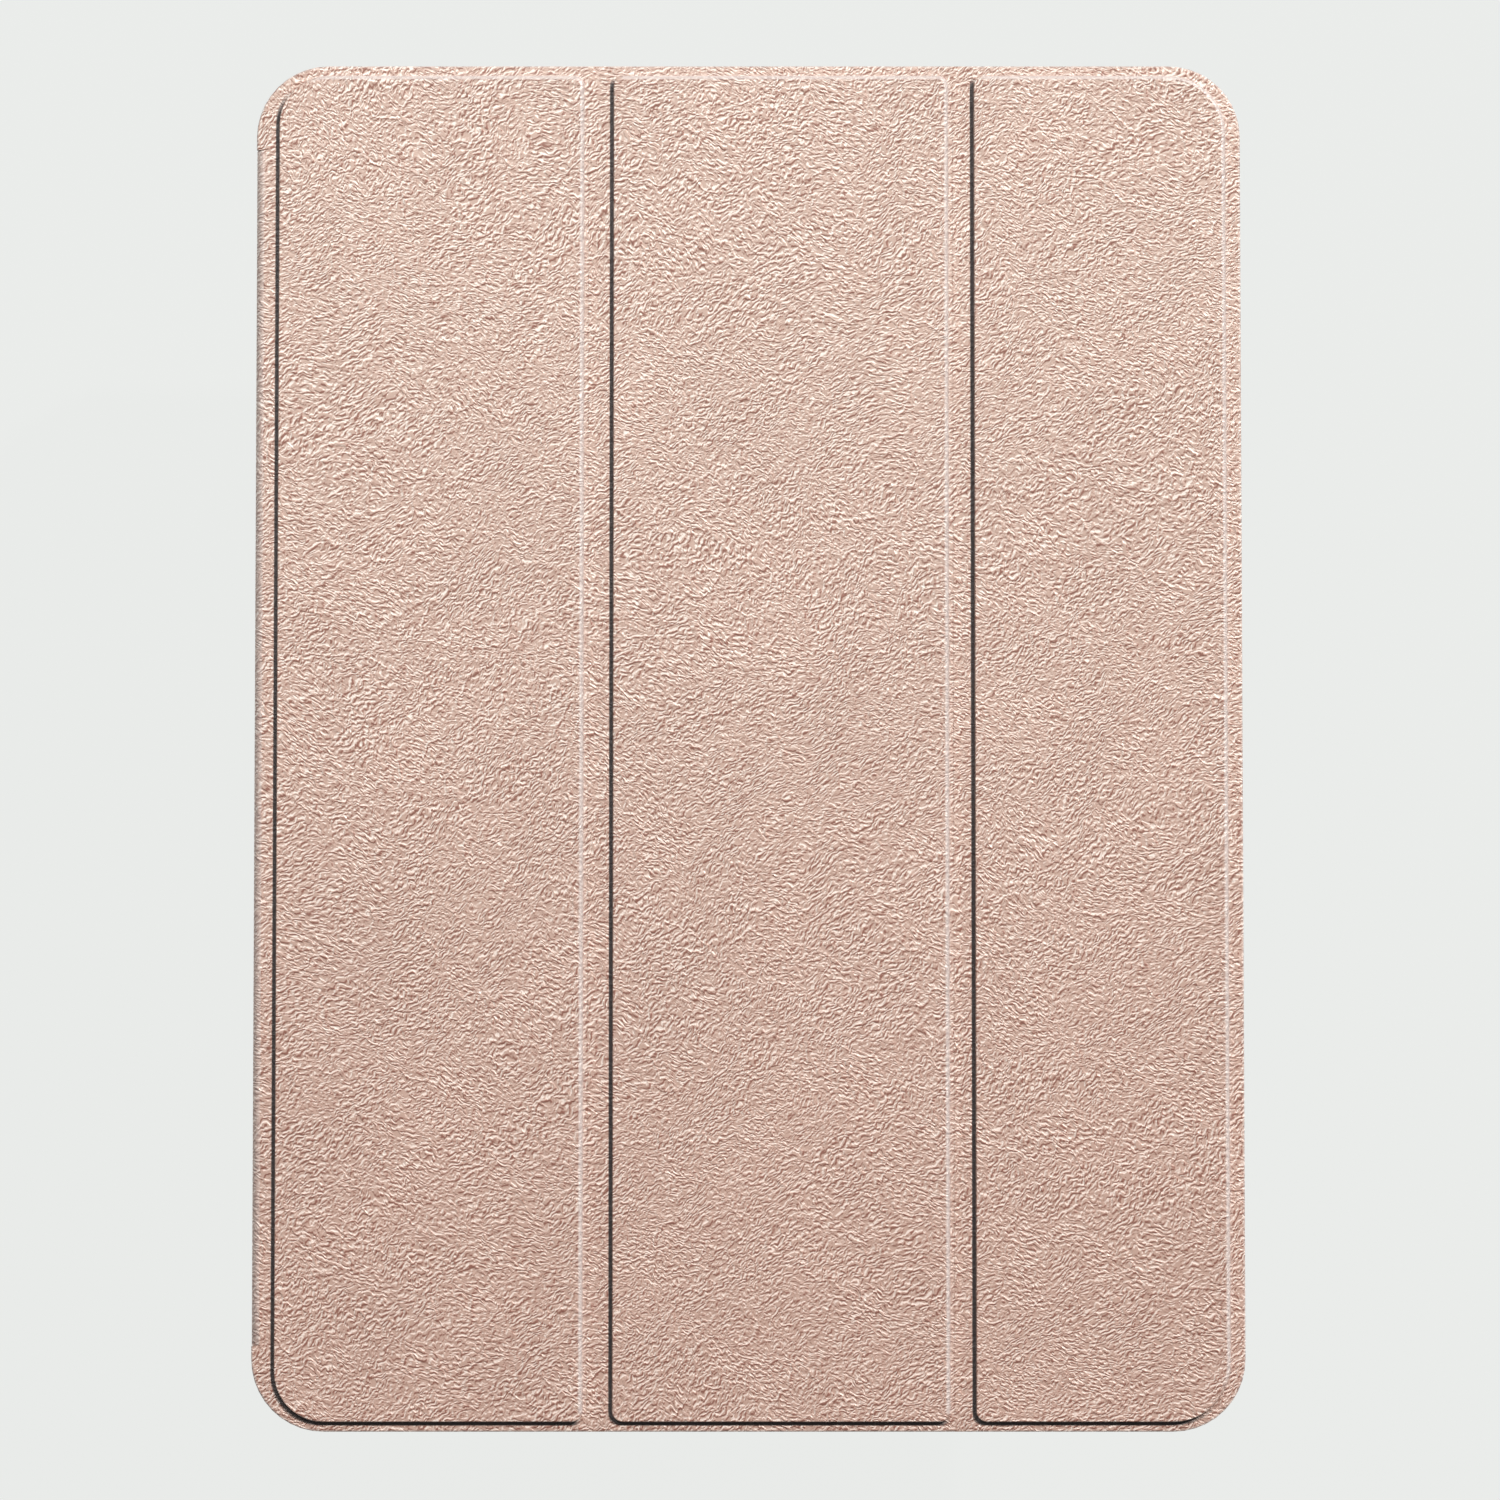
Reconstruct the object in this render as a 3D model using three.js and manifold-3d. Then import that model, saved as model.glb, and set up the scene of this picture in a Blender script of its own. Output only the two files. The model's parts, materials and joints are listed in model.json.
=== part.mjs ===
// A tablet computer in a closed tri-fold folio, lying on its back.
// Millimetres. +X points to the cover's free edge, +Y to the top of the tablet, +Z out of the screen.
// The origin is the centre of the footprint, on the surface that the folio lies on.
import * as THREE from "three";
import { mergeVertices } from "three/addons/utils/BufferGeometryUtils.js";
import Module from "manifold-3d";

const wasm = await Module();
wasm.setup();

// ---------- driving sizes ----------

const arcSteps = 7; // steps in a quarter turn of a large corner
const smallArcSteps = 3; // the same, for small radii
const holeSides = 10;
const layerGap = 0.1; // between two pieces that lie on each other
const through = 1; // how far a cutter runs past the face that it cuts

// tablet body
const tabletWidth = 178.5;
const tabletLength = 247.6;
const tabletThickness = 6.4;
const tabletCorner = 12;
const housingEdgeRound = 0.8;
const housingWall = 1.5;
const housingFloor = 0.8;
const housingRim = 0.7; // metal seen around the glass
const glassThickness = 0.8;
const glassFit = 0.1;
const adhesiveThickness = 0.2;
const displayThickness = 1.5;
const displayBorder = 9.4; // from the side of the tablet to the lit picture

// tablet buttons
const buttonHeight = 2.4;
const buttonProud = 0.4;
const buttonFit = 0.15;
const buttonTravel = 0.3;
const buttonFlange = 0.8; // how far the retaining flange passes the slot
const buttonFlangeThickness = 0.5;
const powerButtonLength = 15;
const powerButtonInset = 30.5; // from the right side of the tablet to the button's middle
const volumeButtonLength = 8.5;
const volumeButtonSpacing = 11.5;
const volumeButtonsInset = 40; // from the top of the tablet to the middle of the pair
const switchThickness = 0.9;

// tablet sockets and sound holes
const plugOpeningWidth = 8.34;
const plugOpeningHeight = 2.56;
const socketWall = 0.28;
const socketDepth = 7.2;
const socketFit = 0.12;
const tongueWidth = 6.69;
const tongueThickness = 0.7;
const tongueLength = 5.2;
const soundHoleRadius = 0.7;
const soundHoleSpacing = 2.5;
const soundHoles = 7;
const speakerDepth = 20;
const speakerFromEnd = 2.6; // from the cavity's end to the speaker
const micHoleRadius = 0.5;
const micX = -18;
const micSize = [3.6, 2.4, 1];

// rear camera
const cameraInset = 16.5; // from the tablet's top and right sides to the lens
const cameraRingRadius = 6.2;
const cameraLensRadius = 4.6;
const cameraBump = 1;
const cameraModuleSide = 10.4;
const flashFromLens = 10.4;
const flashRadius = 2;
const lensSunk = 0.2; // the lens sits below the ring's face
const frontCameraSide = 4.4;
const frontCameraHeight = 2;

// inside the tablet
const boardWidth = 38;
const boardThickness = 0.8;
const boardFromTop = 4; // from the cavity's top to the board
const boardFromBottom = 82; // from the cavity's bottom to the board
const bossHeight = 0.8;
const bossRadius = 2.1;
const screwHeadRadius = 1.5;
const screwHeadHeight = 0.5;
const screwShankRadius = 0.6;
const screwInset = 4;
const cellGap = 4; // between a battery cell and its neighbours
const cellEdgeRound = 0.7;
const cellFromEnds = 29; // from the cavity's ends to the cells, past the speakers
const cellLinkWidth = 3.2;
const cellLinkReach = 6; // how far the link board passes under each cell's end
const magnetWidth = 3.4;
const magnetLength = 24;
const sensorSize = [2, 3, 1];
const flexThickness = 0.25;
const dockFlexWidth = 14;
const displayFlexWidth = 16;
const displayFlexLength = 17;
const displayFlexFromBoardEnd = 5;
const processorShield = { width: 27, length: 30, fromBoardEnd: 38 };
const radioShield = { width: 24, length: 22, fromBoardEnd: 32 };

// case tray
const trayWall = 1.2;
const trayFloor = 1.2;
const trayFit = 0.1;
const trayEdgeRound = 1.1;
const lipThickness = 0.4;
const lipReach = 0.7; // how far a lip passes over the rim of the tablet
const lipLength = 24; // from the corner of the tray
const backSkinThickness = 0.7;
const backSkinInset = 1; // from the side of the tray
const windowHeight = 3.4;
const notchSill = 1.5; // wall left under a notch, above the tablet's back
const notchMargin = 2;
const notchCorner = 1.5;
const cameraWindowWidth = 18;
const cameraWindowLength = 24.5;
const backWindowGrowth = 0.8; // the leather's window is this much wider all round than the tray's

// folio cover
const coverSkin = 0.8;
const coverLining = 0.5;
const stiffener = 1;
const coverAboveLip = 0.15;
const coverOverhang = 0.3; // past the tray at the free edge
const coverEndOverhang = 1.1; // past the tray at the top and bottom
const edgeTurn = 0.8; // leather turned down round the lining
const padBevel = 0.35;
const padCorner = 2; // radius of a pad's corners next to a fold
const hingeMargin = 4.2; // from the spine's outer face to the first pad
const pad1Width = 56.4;
const fold1Gap = 5.6;
const pad2Width = 61.9;
const fold2Gap = 4.9;
const freeMargin = 2.7; // from the third pad to the free edge
const endMargin = 1.8; // from a pad to the top or bottom edge
const foldBorder = 1; // low leather that stays flat beside each pad
const stiffenerFit = 0.3;
const magnetThickness = 0.7;

// spine
const spineSkin = 0.7;
const spineLining = 0.3;
const spineClear = 0.1;
const creaseRadius = 1.4;
const spineFromCorner = 2.4; // from the end of a rounded corner to the spine

// ---------- sizes that follow ----------

const trayHalfWidth = tabletWidth / 2 + trayFit + trayWall;
const trayHalfLength = tabletLength / 2 + trayFit + trayWall;
const spineThickness = spineSkin + spineLining;
const coverWidth = 2 * trayHalfWidth + spineClear + spineThickness + coverOverhang;
const coverLength = 2 * (trayHalfLength + coverEndOverhang);
const coverCorner = tabletCorner + trayFit + trayWall;
const coverLeft = -coverWidth / 2;
const coverRight = coverWidth / 2;
const tabletX = coverLeft + spineThickness + spineClear + trayHalfWidth;
const spineLength = coverLength - 2 * (coverCorner + spineFromCorner);

const tabletZ = backSkinThickness + trayFloor + layerGap;
const tabletTop = tabletZ + tabletThickness;
const lipTop = tabletTop + layerGap / 2 + lipThickness;
const coverZ = lipTop + coverAboveLip;
const leatherZ = coverZ + coverLining;
const coverLow = leatherZ + coverSkin; // top of the leather between the pads
const coverTop = leatherZ + stiffener + layerGap + coverSkin;

const glassBottom = tabletThickness - glassThickness;
const ledge = glassBottom - adhesiveThickness;
const cavityHalfWidth = tabletWidth / 2 - housingWall - housingRim;
const cavityHalfLength = tabletLength / 2 - housingWall - housingRim;
const cavityCorner = tabletCorner - housingWall - housingRim;
const wallDepth = housingWall + housingRim;
const insideTop = glassBottom - displayThickness - layerGap; // height under the display
const insideHeight = insideTop - housingFloor;
const middleHeight = tabletThickness / 2;
const cameraX = tabletWidth / 2 - cameraInset;
const cameraY = tabletLength / 2 - cameraInset;
const windowMiddleY = cameraY - flashFromLens / 2;

const speakerInner = boardWidth / 2 + cellGap;
const speakerOuter = cameraX - cameraModuleSide / 2 - cellGap;
const speakerLength = speakerOuter - speakerInner;
const speakerFromMiddle = (speakerInner + speakerOuter) / 2;

// The three pads, from the spine to the free edge.
const pads = [pad1Width, pad2Width, 0].map((width) => ({ width }));
pads[0].left = coverLeft + hingeMargin;
pads[1].left = pads[0].left + pad1Width + fold1Gap;
pads[2].left = pads[1].left + pad2Width + fold2Gap;
pads[2].width = coverRight - freeMargin - pads[2].left;
for (const pad of pads) {
  pad.right = pad.left + pad.width;
  pad.middle = (pad.left + pad.right) / 2;
}
const folds = [
  { middle: (pads[0].right + pads[1].left) / 2, gap: fold1Gap },
  { middle: (pads[1].right + pads[2].left) / 2, gap: fold2Gap },
];

// ---------- shapes ----------

// A rectangle about the origin. corners holds the radii at left-bottom, right-bottom, right-top, left-top.
function roundedRectangle(width, length, corners) {
  const [a, b, c, d] = Array.isArray(corners) ? corners : [corners, corners, corners, corners];
  const x = width / 2;
  const y = length / 2;
  const quarter = Math.PI / 2;
  const shape = new THREE.Shape();
  shape.moveTo(-x + a, -y);
  shape.lineTo(x - b, -y);
  shape.absarc(x - b, -y + b, b, -quarter, 0);
  shape.lineTo(x, y - c);
  shape.absarc(x - c, y - c, c, 0, quarter);
  shape.lineTo(-x + d, y);
  shape.absarc(-x + d, y - d, d, quarter, 2 * quarter);
  shape.lineTo(-x, -y + a);
  shape.absarc(-x + a, -y + a, a, 2 * quarter, 3 * quarter);
  return shape;
}

// A solid from z to z + height over a shape, its edges rounded by round at both ends.
function plate(shape, z, height, { round = 0, steps = arcSteps, roundSteps = 2 } = {}) {
  const geometry = new THREE.ExtrudeGeometry(shape, {
    depth: height - 2 * round,
    curveSegments: steps,
    bevelEnabled: round > 0,
    bevelThickness: round,
    bevelSize: round,
    bevelOffset: -round,
    bevelSegments: roundSteps,
  });
  return geometry.translate(0, 0, z + round);
}

function block(x0, x1, y0, y1, z0, z1) {
  const geometry = new THREE.BoxGeometry(x1 - x0, y1 - y0, z1 - z0);
  return geometry.translate((x0 + x1) / 2, (y0 + y1) / 2, (z0 + z1) / 2);
}

function post(x, y, z0, z1, radius, sides = holeSides) {
  const geometry = new THREE.CylinderGeometry(radius, radius, z1 - z0, sides);
  return geometry.rotateX(Math.PI / 2).translate(x, y, (z0 + z1) / 2);
}

// A bar with round ends: long across, high upwards, running deep along +Y from the origin.
function pill(long, high, deep) {
  const shape = roundedRectangle(long, high, high / 2 - 0.001);
  return plate(shape, 0, deep, { steps: smallArcSteps }).rotateX(Math.PI / 2).translate(0, deep, 0);
}

// ---------- booleans ----------

function solid(geometry) {
  const bare = geometry.clone();
  bare.deleteAttribute("normal");
  bare.deleteAttribute("uv");
  const merged = mergeVertices(bare, 1e-4);
  const mesh = new wasm.Mesh({
    numProp: 3,
    vertProperties: merged.attributes.position.array,
    triVerts: new Uint32Array(merged.index.array),
  });
  return new wasm.Manifold(mesh);
}

function geometryOf(body) {
  const mesh = body.getMesh();
  const geometry = new THREE.BufferGeometry();
  geometry.setAttribute("position", new THREE.BufferAttribute(mesh.vertProperties, 3));
  geometry.setIndex(new THREE.BufferAttribute(mesh.triVerts, 1));
  return geometry;
}

const joined = (...all) => all.map(solid).reduce((a, b) => a.add(b));

function cut(geometry, cutters) {
  return geometryOf(cutters.map(solid).reduce((a, b) => a.subtract(b), solid(geometry)));
}

// ---------- materials ----------

const finish = (color, roughness, metalness = 0) =>
  new THREE.MeshStandardMaterial({ color, roughness, metalness });
const leather = finish(0xd3b3a3, 0.45, 0.1);
const microfibre = finish(0xb9a49b, 0.95);
const tray = finish(0xc9a798, 0.5);
const fibreboard = finish(0x8f8a83, 0.85);
const aluminium = finish(0xb8babd, 0.35, 1);
const glass = finish(0x08090b, 0.05);
const blackPlastic = finish(0x17181a, 0.6);
const greenBoard = finish(0x1c3a2c, 0.5);
const foil = finish(0x2b2c30, 0.45, 0.3);
const steel = finish(0x9a9da1, 0.3, 1);
const magnet = finish(0x70747a, 0.35, 1);
const amberFilm = finish(0x8a5a22, 0.5);
const foam = finish(0x1d1d1f, 0.9);
const phosphor = finish(0xe8d98c, 0.4);

const part = new THREE.Group();
const folio = new THREE.Group();
const tablet = new THREE.Group();
tablet.position.set(tabletX, 0, tabletZ);
part.add(folio, tablet);

function add(group, name, geometry, material, [x, y, z] = [0, 0, 0]) {
  const mesh = new THREE.Mesh(geometry, material);
  mesh.name = name;
  mesh.position.set(x, y, z);
  group.add(mesh);
  return mesh;
}

// ---------- tablet: housing, glass and display ----------

// Where each speaker stands: side is -1 or 1 across, end is -1 at the bottom and 1 at the top.
const speakers = [
  ["speaker_bottom_left", -1, -1],
  ["speaker_bottom_right", 1, -1],
  ["speaker_top_left", -1, 1],
  ["speaker_top_right", 1, 1],
];

// The buttons: where the middle of each one's face meets the side of the tablet, and the turn that
// carries a bar running along +Y into the wall.
const buttons = [
  {
    name: "power_button",
    length: powerButtonLength,
    x: tabletWidth / 2 - powerButtonInset,
    y: tabletLength / 2,
    turn: Math.PI,
  },
  ...[1, -1].map((way) => ({
    name: way > 0 ? "volume_up_button" : "volume_down_button",
    length: volumeButtonLength,
    x: tabletWidth / 2,
    y: tabletLength / 2 - volumeButtonsInset + (way * volumeButtonSpacing) / 2,
    turn: Math.PI / 2,
  })),
];

const atSide = (geometry, { x, y, turn }) => geometry.rotateZ(turn).translate(x, y, middleHeight);

function soundHoleCutters() {
  const cutters = [];
  for (const [, side, end] of speakers)
    for (let n = 0; n < soundHoles; n++) {
      const x = side * speakerFromMiddle + (n - (soundHoles - 1) / 2) * soundHoleSpacing;
      const hole = post(0, 0, -wallDepth - through, wallDepth + through, soundHoleRadius, 8);
      cutters.push(hole.rotateX(Math.PI / 2).translate(x, (end * tabletLength) / 2, middleHeight));
    }
  return cutters;
}

const boardTop = cavityHalfLength - boardFromTop;
const boardBottom = -cavityHalfLength + boardFromBottom;
const screwPlaces = [-1, 1].flatMap((side) =>
  [boardBottom + screwInset, boardTop - screwInset].map((y) => [side * (boardWidth / 2 - screwInset), y]),
);

function rearHousing() {
  const body = roundedRectangle(tabletWidth, tabletLength, tabletCorner);
  const glassWell = roundedRectangle(
    tabletWidth - 2 * housingRim,
    tabletLength - 2 * housingRim,
    tabletCorner - housingRim,
  );
  const cavity = roundedRectangle(2 * cavityHalfWidth, 2 * cavityHalfLength, cavityCorner);
  const outside = solid(plate(body, 0, tabletThickness + housingEdgeRound, { round: housingEdgeRound }));
  const bosses = screwPlaces.map(([x, y]) =>
    solid(post(x, y, housingFloor / 2, housingFloor + bossHeight, bossRadius)),
  );
  const hollow = [
    plate(glassWell, ledge, tabletThickness),
    plate(cavity, housingFloor, tabletThickness),
  ].map(solid);
  const tray = hollow.reduce((a, b) => a.subtract(b), outside);
  const withBosses = bosses.reduce((a, b) => a.add(b), tray);
  const cutters = [
    block(-tabletWidth, tabletWidth, -tabletLength, tabletLength, tabletThickness, 2 * tabletThickness),
    ...soundHoleCutters(),
    ...buttons.map((b) =>
      atSide(pill(b.length + 2 * buttonFit, buttonHeight + 2 * buttonFit, wallDepth + 2 * through)
        .translate(0, -through, 0), b)),
    pill(
      plugOpeningWidth + 2 * (socketWall + socketFit),
      plugOpeningHeight + 2 * (socketWall + socketFit),
      wallDepth + 2 * through,
    ).translate(0, -tabletLength / 2 - through, middleHeight),
    post(0, 0, -wallDepth - through, wallDepth + through, micHoleRadius, 8)
      .rotateX(Math.PI / 2)
      .translate(micX, tabletLength / 2, middleHeight),
    post(cameraX, cameraY, -through, housingFloor + through, cameraLensRadius + layerGap, 20),
    post(cameraX, cameraY - flashFromLens, -through, housingFloor + through, flashRadius + layerGap),
    ...screwPlaces.map(([x, y]) =>
      post(x, y, housingFloor, housingFloor + bossHeight + through, screwShankRadius + layerGap, 8),
    ),
  ];
  return geometryOf(cutters.map(solid).reduce((a, b) => a.subtract(b), withBosses));
}

function ring(width, length, corner, thickness, inset) {
  const shape = roundedRectangle(width, length, corner);
  const inner = roundedRectangle(width - 2 * inset, length - 2 * inset, corner - inset);
  return cut(plate(shape, 0, thickness), [plate(inner, -through, thickness + 2 * through)]);
}

function addTabletFace() {
  const width = tabletWidth - 2 * (housingRim + glassFit);
  const length = tabletLength - 2 * (housingRim + glassFit);
  const corner = tabletCorner - housingRim - glassFit;
  const pane = roundedRectangle(width, length, corner);
  add(tablet, "rear_housing", rearHousing(), aluminium);
  const glassPane = plate(pane, 0, glassThickness - layerGap / 2, { round: 0.15, roundSteps: 1 });
  add(tablet, "cover_glass", glassPane, glass, [0, 0, glassBottom + layerGap / 2]);
  const seal = ring(width - 2 * glassFit, length - 2 * glassFit, corner - glassFit, adhesiveThickness,
    housingWall - 2 * glassFit - layerGap);
  add(tablet, "display_adhesive", seal, foam, [0, 0, ledge]);
  const panel = roundedRectangle(tabletWidth - 2 * displayBorder, tabletLength - 2 * displayBorder, 3);
  const displayModule = plate(panel, 0, displayThickness, { steps: smallArcSteps });
  add(tablet, "display_panel", displayModule, foil, [0, 0, insideTop + layerGap]);
}

// ---------- tablet: buttons and their switches ----------

// A button's face stands proud of the wall, its stem fills the slot, and a flange holds it from inside.
function button(length) {
  const depth = buttonProud + wallDepth + layerGap;
  const stem = pill(length, buttonHeight, depth + buttonFlangeThickness / 2);
  const flange = pill(length + 2 * buttonFlange, buttonHeight + 2 * buttonFlange, buttonFlangeThickness);
  return geometryOf(joined(stem, flange.translate(0, depth, 0))).translate(0, -buttonProud, 0);
}

function addButtons() {
  const behind = wallDepth + layerGap + buttonFlangeThickness + buttonTravel + layerGap;
  for (const b of buttons) add(tablet, b.name, atSide(button(b.length), b), aluminium);
  const [power, up, down] = buttons;
  const switchBar = (length) => {
    const high = buttonHeight;
    return block(-length / 2, length / 2, behind, behind + switchThickness, -high / 2, high / 2);
  };
  add(tablet, "power_switch", atSide(switchBar(power.length), power), amberFilm);
  const pair = { x: up.x, y: (up.y + down.y) / 2, turn: up.turn };
  const pairLength = volumeButtonLength + volumeButtonSpacing;
  add(tablet, "volume_switch", atSide(switchBar(pairLength), pair), amberFilm);
}

// ---------- tablet: charging socket, speakers and microphone ----------

function addSocket() {
  const outerWidth = plugOpeningWidth + 2 * socketWall;
  const outerHeight = plugOpeningHeight + 2 * socketWall;
  const inside = pill(plugOpeningWidth, plugOpeningHeight, socketDepth - socketWall + through);
  const shell = cut(pill(outerWidth, outerHeight, socketDepth), [inside.translate(0, -through, 0)]);
  const place = [0, -tabletLength / 2 + layerGap, middleHeight];
  add(tablet, "usb_c_socket", shell, steel, place);
  const back = socketDepth - socketWall - layerGap;
  const tongue = block(-tongueWidth / 2, tongueWidth / 2, back - tongueLength, back,
    -tongueThickness / 2, tongueThickness / 2);
  add(tablet, "usb_c_tongue", tongue, blackPlastic, place);
  const start = -tabletLength / 2 + socketDepth + 2 * layerGap;
  const flexZ = housingFloor + bossHeight + layerGap;
  const half = dockFlexWidth / 2;
  const ribbon = block(-half, half, start, boardBottom - layerGap, flexZ, flexZ + flexThickness);
  add(tablet, "dock_flex", ribbon, amberFilm);
}

function addSpeakers() {
  const height = insideHeight - 2 * layerGap;
  const shape = roundedRectangle(speakerLength, speakerDepth, 2.5);
  for (const [name, side, end] of speakers) {
    const box = plate(shape, 0, height, { round: 0.4, roundSteps: 1, steps: smallArcSteps });
    const y = end * (cavityHalfLength - speakerDepth / 2 - speakerFromEnd);
    add(tablet, name, box, blackPlastic, [side * speakerFromMiddle, y, housingFloor + layerGap]);
  }
  const mic = new THREE.BoxGeometry(...micSize);
  const micY = cavityHalfLength - micSize[1] / 2 - layerGap;
  add(tablet, "top_microphone", mic, steel, [micX, micY, middleHeight]);
}

// ---------- tablet: cameras ----------

function addCameras() {
  const lensWell = cameraLensRadius + layerGap;
  const ringGeometry = cut(post(0, 0, -cameraBump, -layerGap, cameraRingRadius, 28), [
    post(0, 0, -cameraBump - through, through, lensWell, 28),
  ]);
  add(tablet, "rear_camera_ring", ringGeometry, aluminium, [cameraX, cameraY, 0]);
  const lens = post(0, 0, lensSunk - cameraBump, housingFloor / 2, cameraLensRadius, 28);
  add(tablet, "rear_camera_lens", lens, glass, [cameraX, cameraY, 0]);
  const half = cameraModuleSide / 2;
  const camera = block(-half, half, -half, half, 0, insideHeight - 2 * layerGap);
  add(tablet, "rear_camera_module", camera, blackPlastic, [cameraX, cameraY, housingFloor + layerGap]);
  add(tablet, "flash_lens", post(0, 0, 0, housingFloor, flashRadius), phosphor,
    [cameraX, cameraY - flashFromLens, 0]);
  const wide = frontCameraSide / 2;
  const front = block(-wide, wide, 0, frontCameraSide, -frontCameraHeight, 0);
  const frontY = tabletLength / 2 - displayBorder + layerGap;
  add(tablet, "front_camera", front, blackPlastic, [0, frontY, glassBottom]);
}

// ---------- tablet: boards, battery and magnets ----------

function addBoards() {
  const z = housingFloor + bossHeight + layerGap;
  const boardY = (boardTop + boardBottom) / 2;
  const shape = roundedRectangle(boardWidth, boardTop - boardBottom, 2);
  const holeRadius = screwShankRadius + 2 * layerGap;
  const holes = screwPlaces.map(([x, y]) =>
    post(x, y - boardY, -through, boardThickness + through, holeRadius, 8),
  );
  const board = cut(plate(shape, 0, boardThickness, { steps: smallArcSteps }), holes);
  add(tablet, "logic_board", board, greenBoard, [0, boardY, z]);
  const chipZ = z + boardThickness + layerGap;
  const chipTop = insideTop - layerGap;
  const can = ({ width, length }) =>
    plate(roundedRectangle(width, length, 1), 0, chipTop - chipZ, { steps: smallArcSteps });
  const processorY = boardTop - processorShield.fromBoardEnd;
  const radioY = boardBottom + radioShield.fromBoardEnd;
  add(tablet, "processor_shield", can(processorShield), steel, [0, processorY, chipZ]);
  add(tablet, "radio_shield", can(radioShield), steel, [0, radioY, chipZ]);
  screwPlaces.forEach(([x, y], n) => {
    const top = boardThickness + layerGap;
    const shank = post(0, 0, -bossHeight / 2, top + screwHeadHeight / 2, screwShankRadius, 8);
    const head = post(0, 0, top, top + screwHeadHeight, screwHeadRadius, 12);
    add(tablet, `board_screw_${n + 1}`, geometryOf(joined(shank, head)), steel, [x, y, z]);
  });
}

function addBattery() {
  const inner = boardWidth / 2 + cellGap;
  const outer = cavityHalfWidth - cellGap - magnetWidth;
  const length = 2 * (cavityHalfLength - cellFromEnds);
  const shape = roundedRectangle(outer - inner, length, 3);
  const cell = () =>
    plate(shape, 0, insideHeight - 2 * layerGap, { round: cellEdgeRound, steps: smallArcSteps });
  for (const [name, side] of [["battery_cell_left", -1], ["battery_cell_right", 1]])
    add(tablet, name, cell(), foil, [(side * (inner + outer)) / 2, 0, housingFloor + layerGap]);
  const reach = inner + cellLinkReach;
  const linkZ = housingFloor + bossHeight + 3 * layerGap + flexThickness;
  const link = block(-reach, reach, -cellLinkWidth, 0, 0, boardThickness);
  add(tablet, "battery_link_board", link, amberFilm, [0, -length / 2 - layerGap, linkZ]);
}

function addDisplayFlex() {
  const half = displayFlexWidth / 2;
  const end = boardTop - displayFlexFromBoardEnd;
  const z = insideTop - layerGap;
  const ribbon = block(-half, half, end - displayFlexLength, end, z - flexThickness, z);
  add(tablet, "display_flex", ribbon, amberFilm);
}

function addLatchMagnets() {
  const x = cavityHalfWidth - magnetWidth / 2 - layerGap;
  const height = insideHeight - 2 * layerGap;
  const bar = () => block(-magnetWidth / 2, magnetWidth / 2, -magnetLength / 2, magnetLength / 2, 0, height);
  for (const [name, y] of magnetPlaces)
    add(tablet, `latch_magnet_${name}`, bar(), magnet, [x, y, housingFloor + layerGap]);
  const sensor = new THREE.BoxGeometry(...sensorSize);
  add(tablet, "lid_sensor", sensor, blackPlastic, [x, 0, housingFloor + layerGap + sensorSize[2] / 2]);
}

const magnetPlaces = [
  ["top", tabletLength / 4 - magnetLength / 2],
  ["bottom", -tabletLength / 4 + magnetLength / 2],
];

addTabletFace();
addButtons();
addSocket();
addSpeakers();
addCameras();
addBoards();
addBattery();
addDisplayFlex();
addLatchMagnets();

// ---------- case tray and the leather on its back ----------

// Windows and notches in the tray's walls, in the tablet's own frame.
function wallCutters() {
  const deep = trayWall + trayFit + 2 * through;
  const side = tabletLength / 2 - through;
  const top = lipTop - tabletZ + through;
  const cutters = [];
  const soundWindow = (soundHoles - 1) * soundHoleSpacing + 2 * (soundHoleRadius + notchMargin);
  for (const [, across, end] of speakers) {
    const y = end > 0 ? side : -side - deep;
    const x = across * speakerFromMiddle;
    cutters.push(pill(soundWindow, windowHeight, deep).translate(x, y, middleHeight));
  }
  cutters.push(post(0, 0, -deep / 2, deep / 2, 3 * micHoleRadius)
    .rotateX(Math.PI / 2)
    .translate(micX, side + deep / 2, middleHeight));
  const notch = (length, { x, y, turn }) => {
    const height = top - notchSill;
    const shape = roundedRectangle(length, 2 * height, notchCorner);
    const bar = plate(shape, 0, deep, { steps: smallArcSteps }).rotateX(Math.PI / 2);
    return bar.translate(0, through, 0).rotateZ(turn).translate(x, y, notchSill + height);
  };
  const [power, up, down] = buttons;
  cutters.push(notch(power.length + 2 * notchMargin, power));
  const pairLength = volumeButtonSpacing + volumeButtonLength + 2 * notchMargin;
  cutters.push(notch(pairLength, { x: up.x, y: (up.y + down.y) / 2, turn: up.turn }));
  cutters.push(notch(plugOpeningWidth + 3 * notchMargin, { x: 0, y: -tabletLength / 2, turn: 0 }));
  return cutters;
}

function cameraWindow(z0, z1, grow) {
  const shape = roundedRectangle(cameraWindowWidth + 2 * grow, cameraWindowLength + 2 * grow,
    cameraWindowWidth / 2 - 1 + grow);
  return plate(shape, z0, z1 - z0, { steps: 5 }).translate(tabletX + cameraX, windowMiddleY, 0);
}

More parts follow.
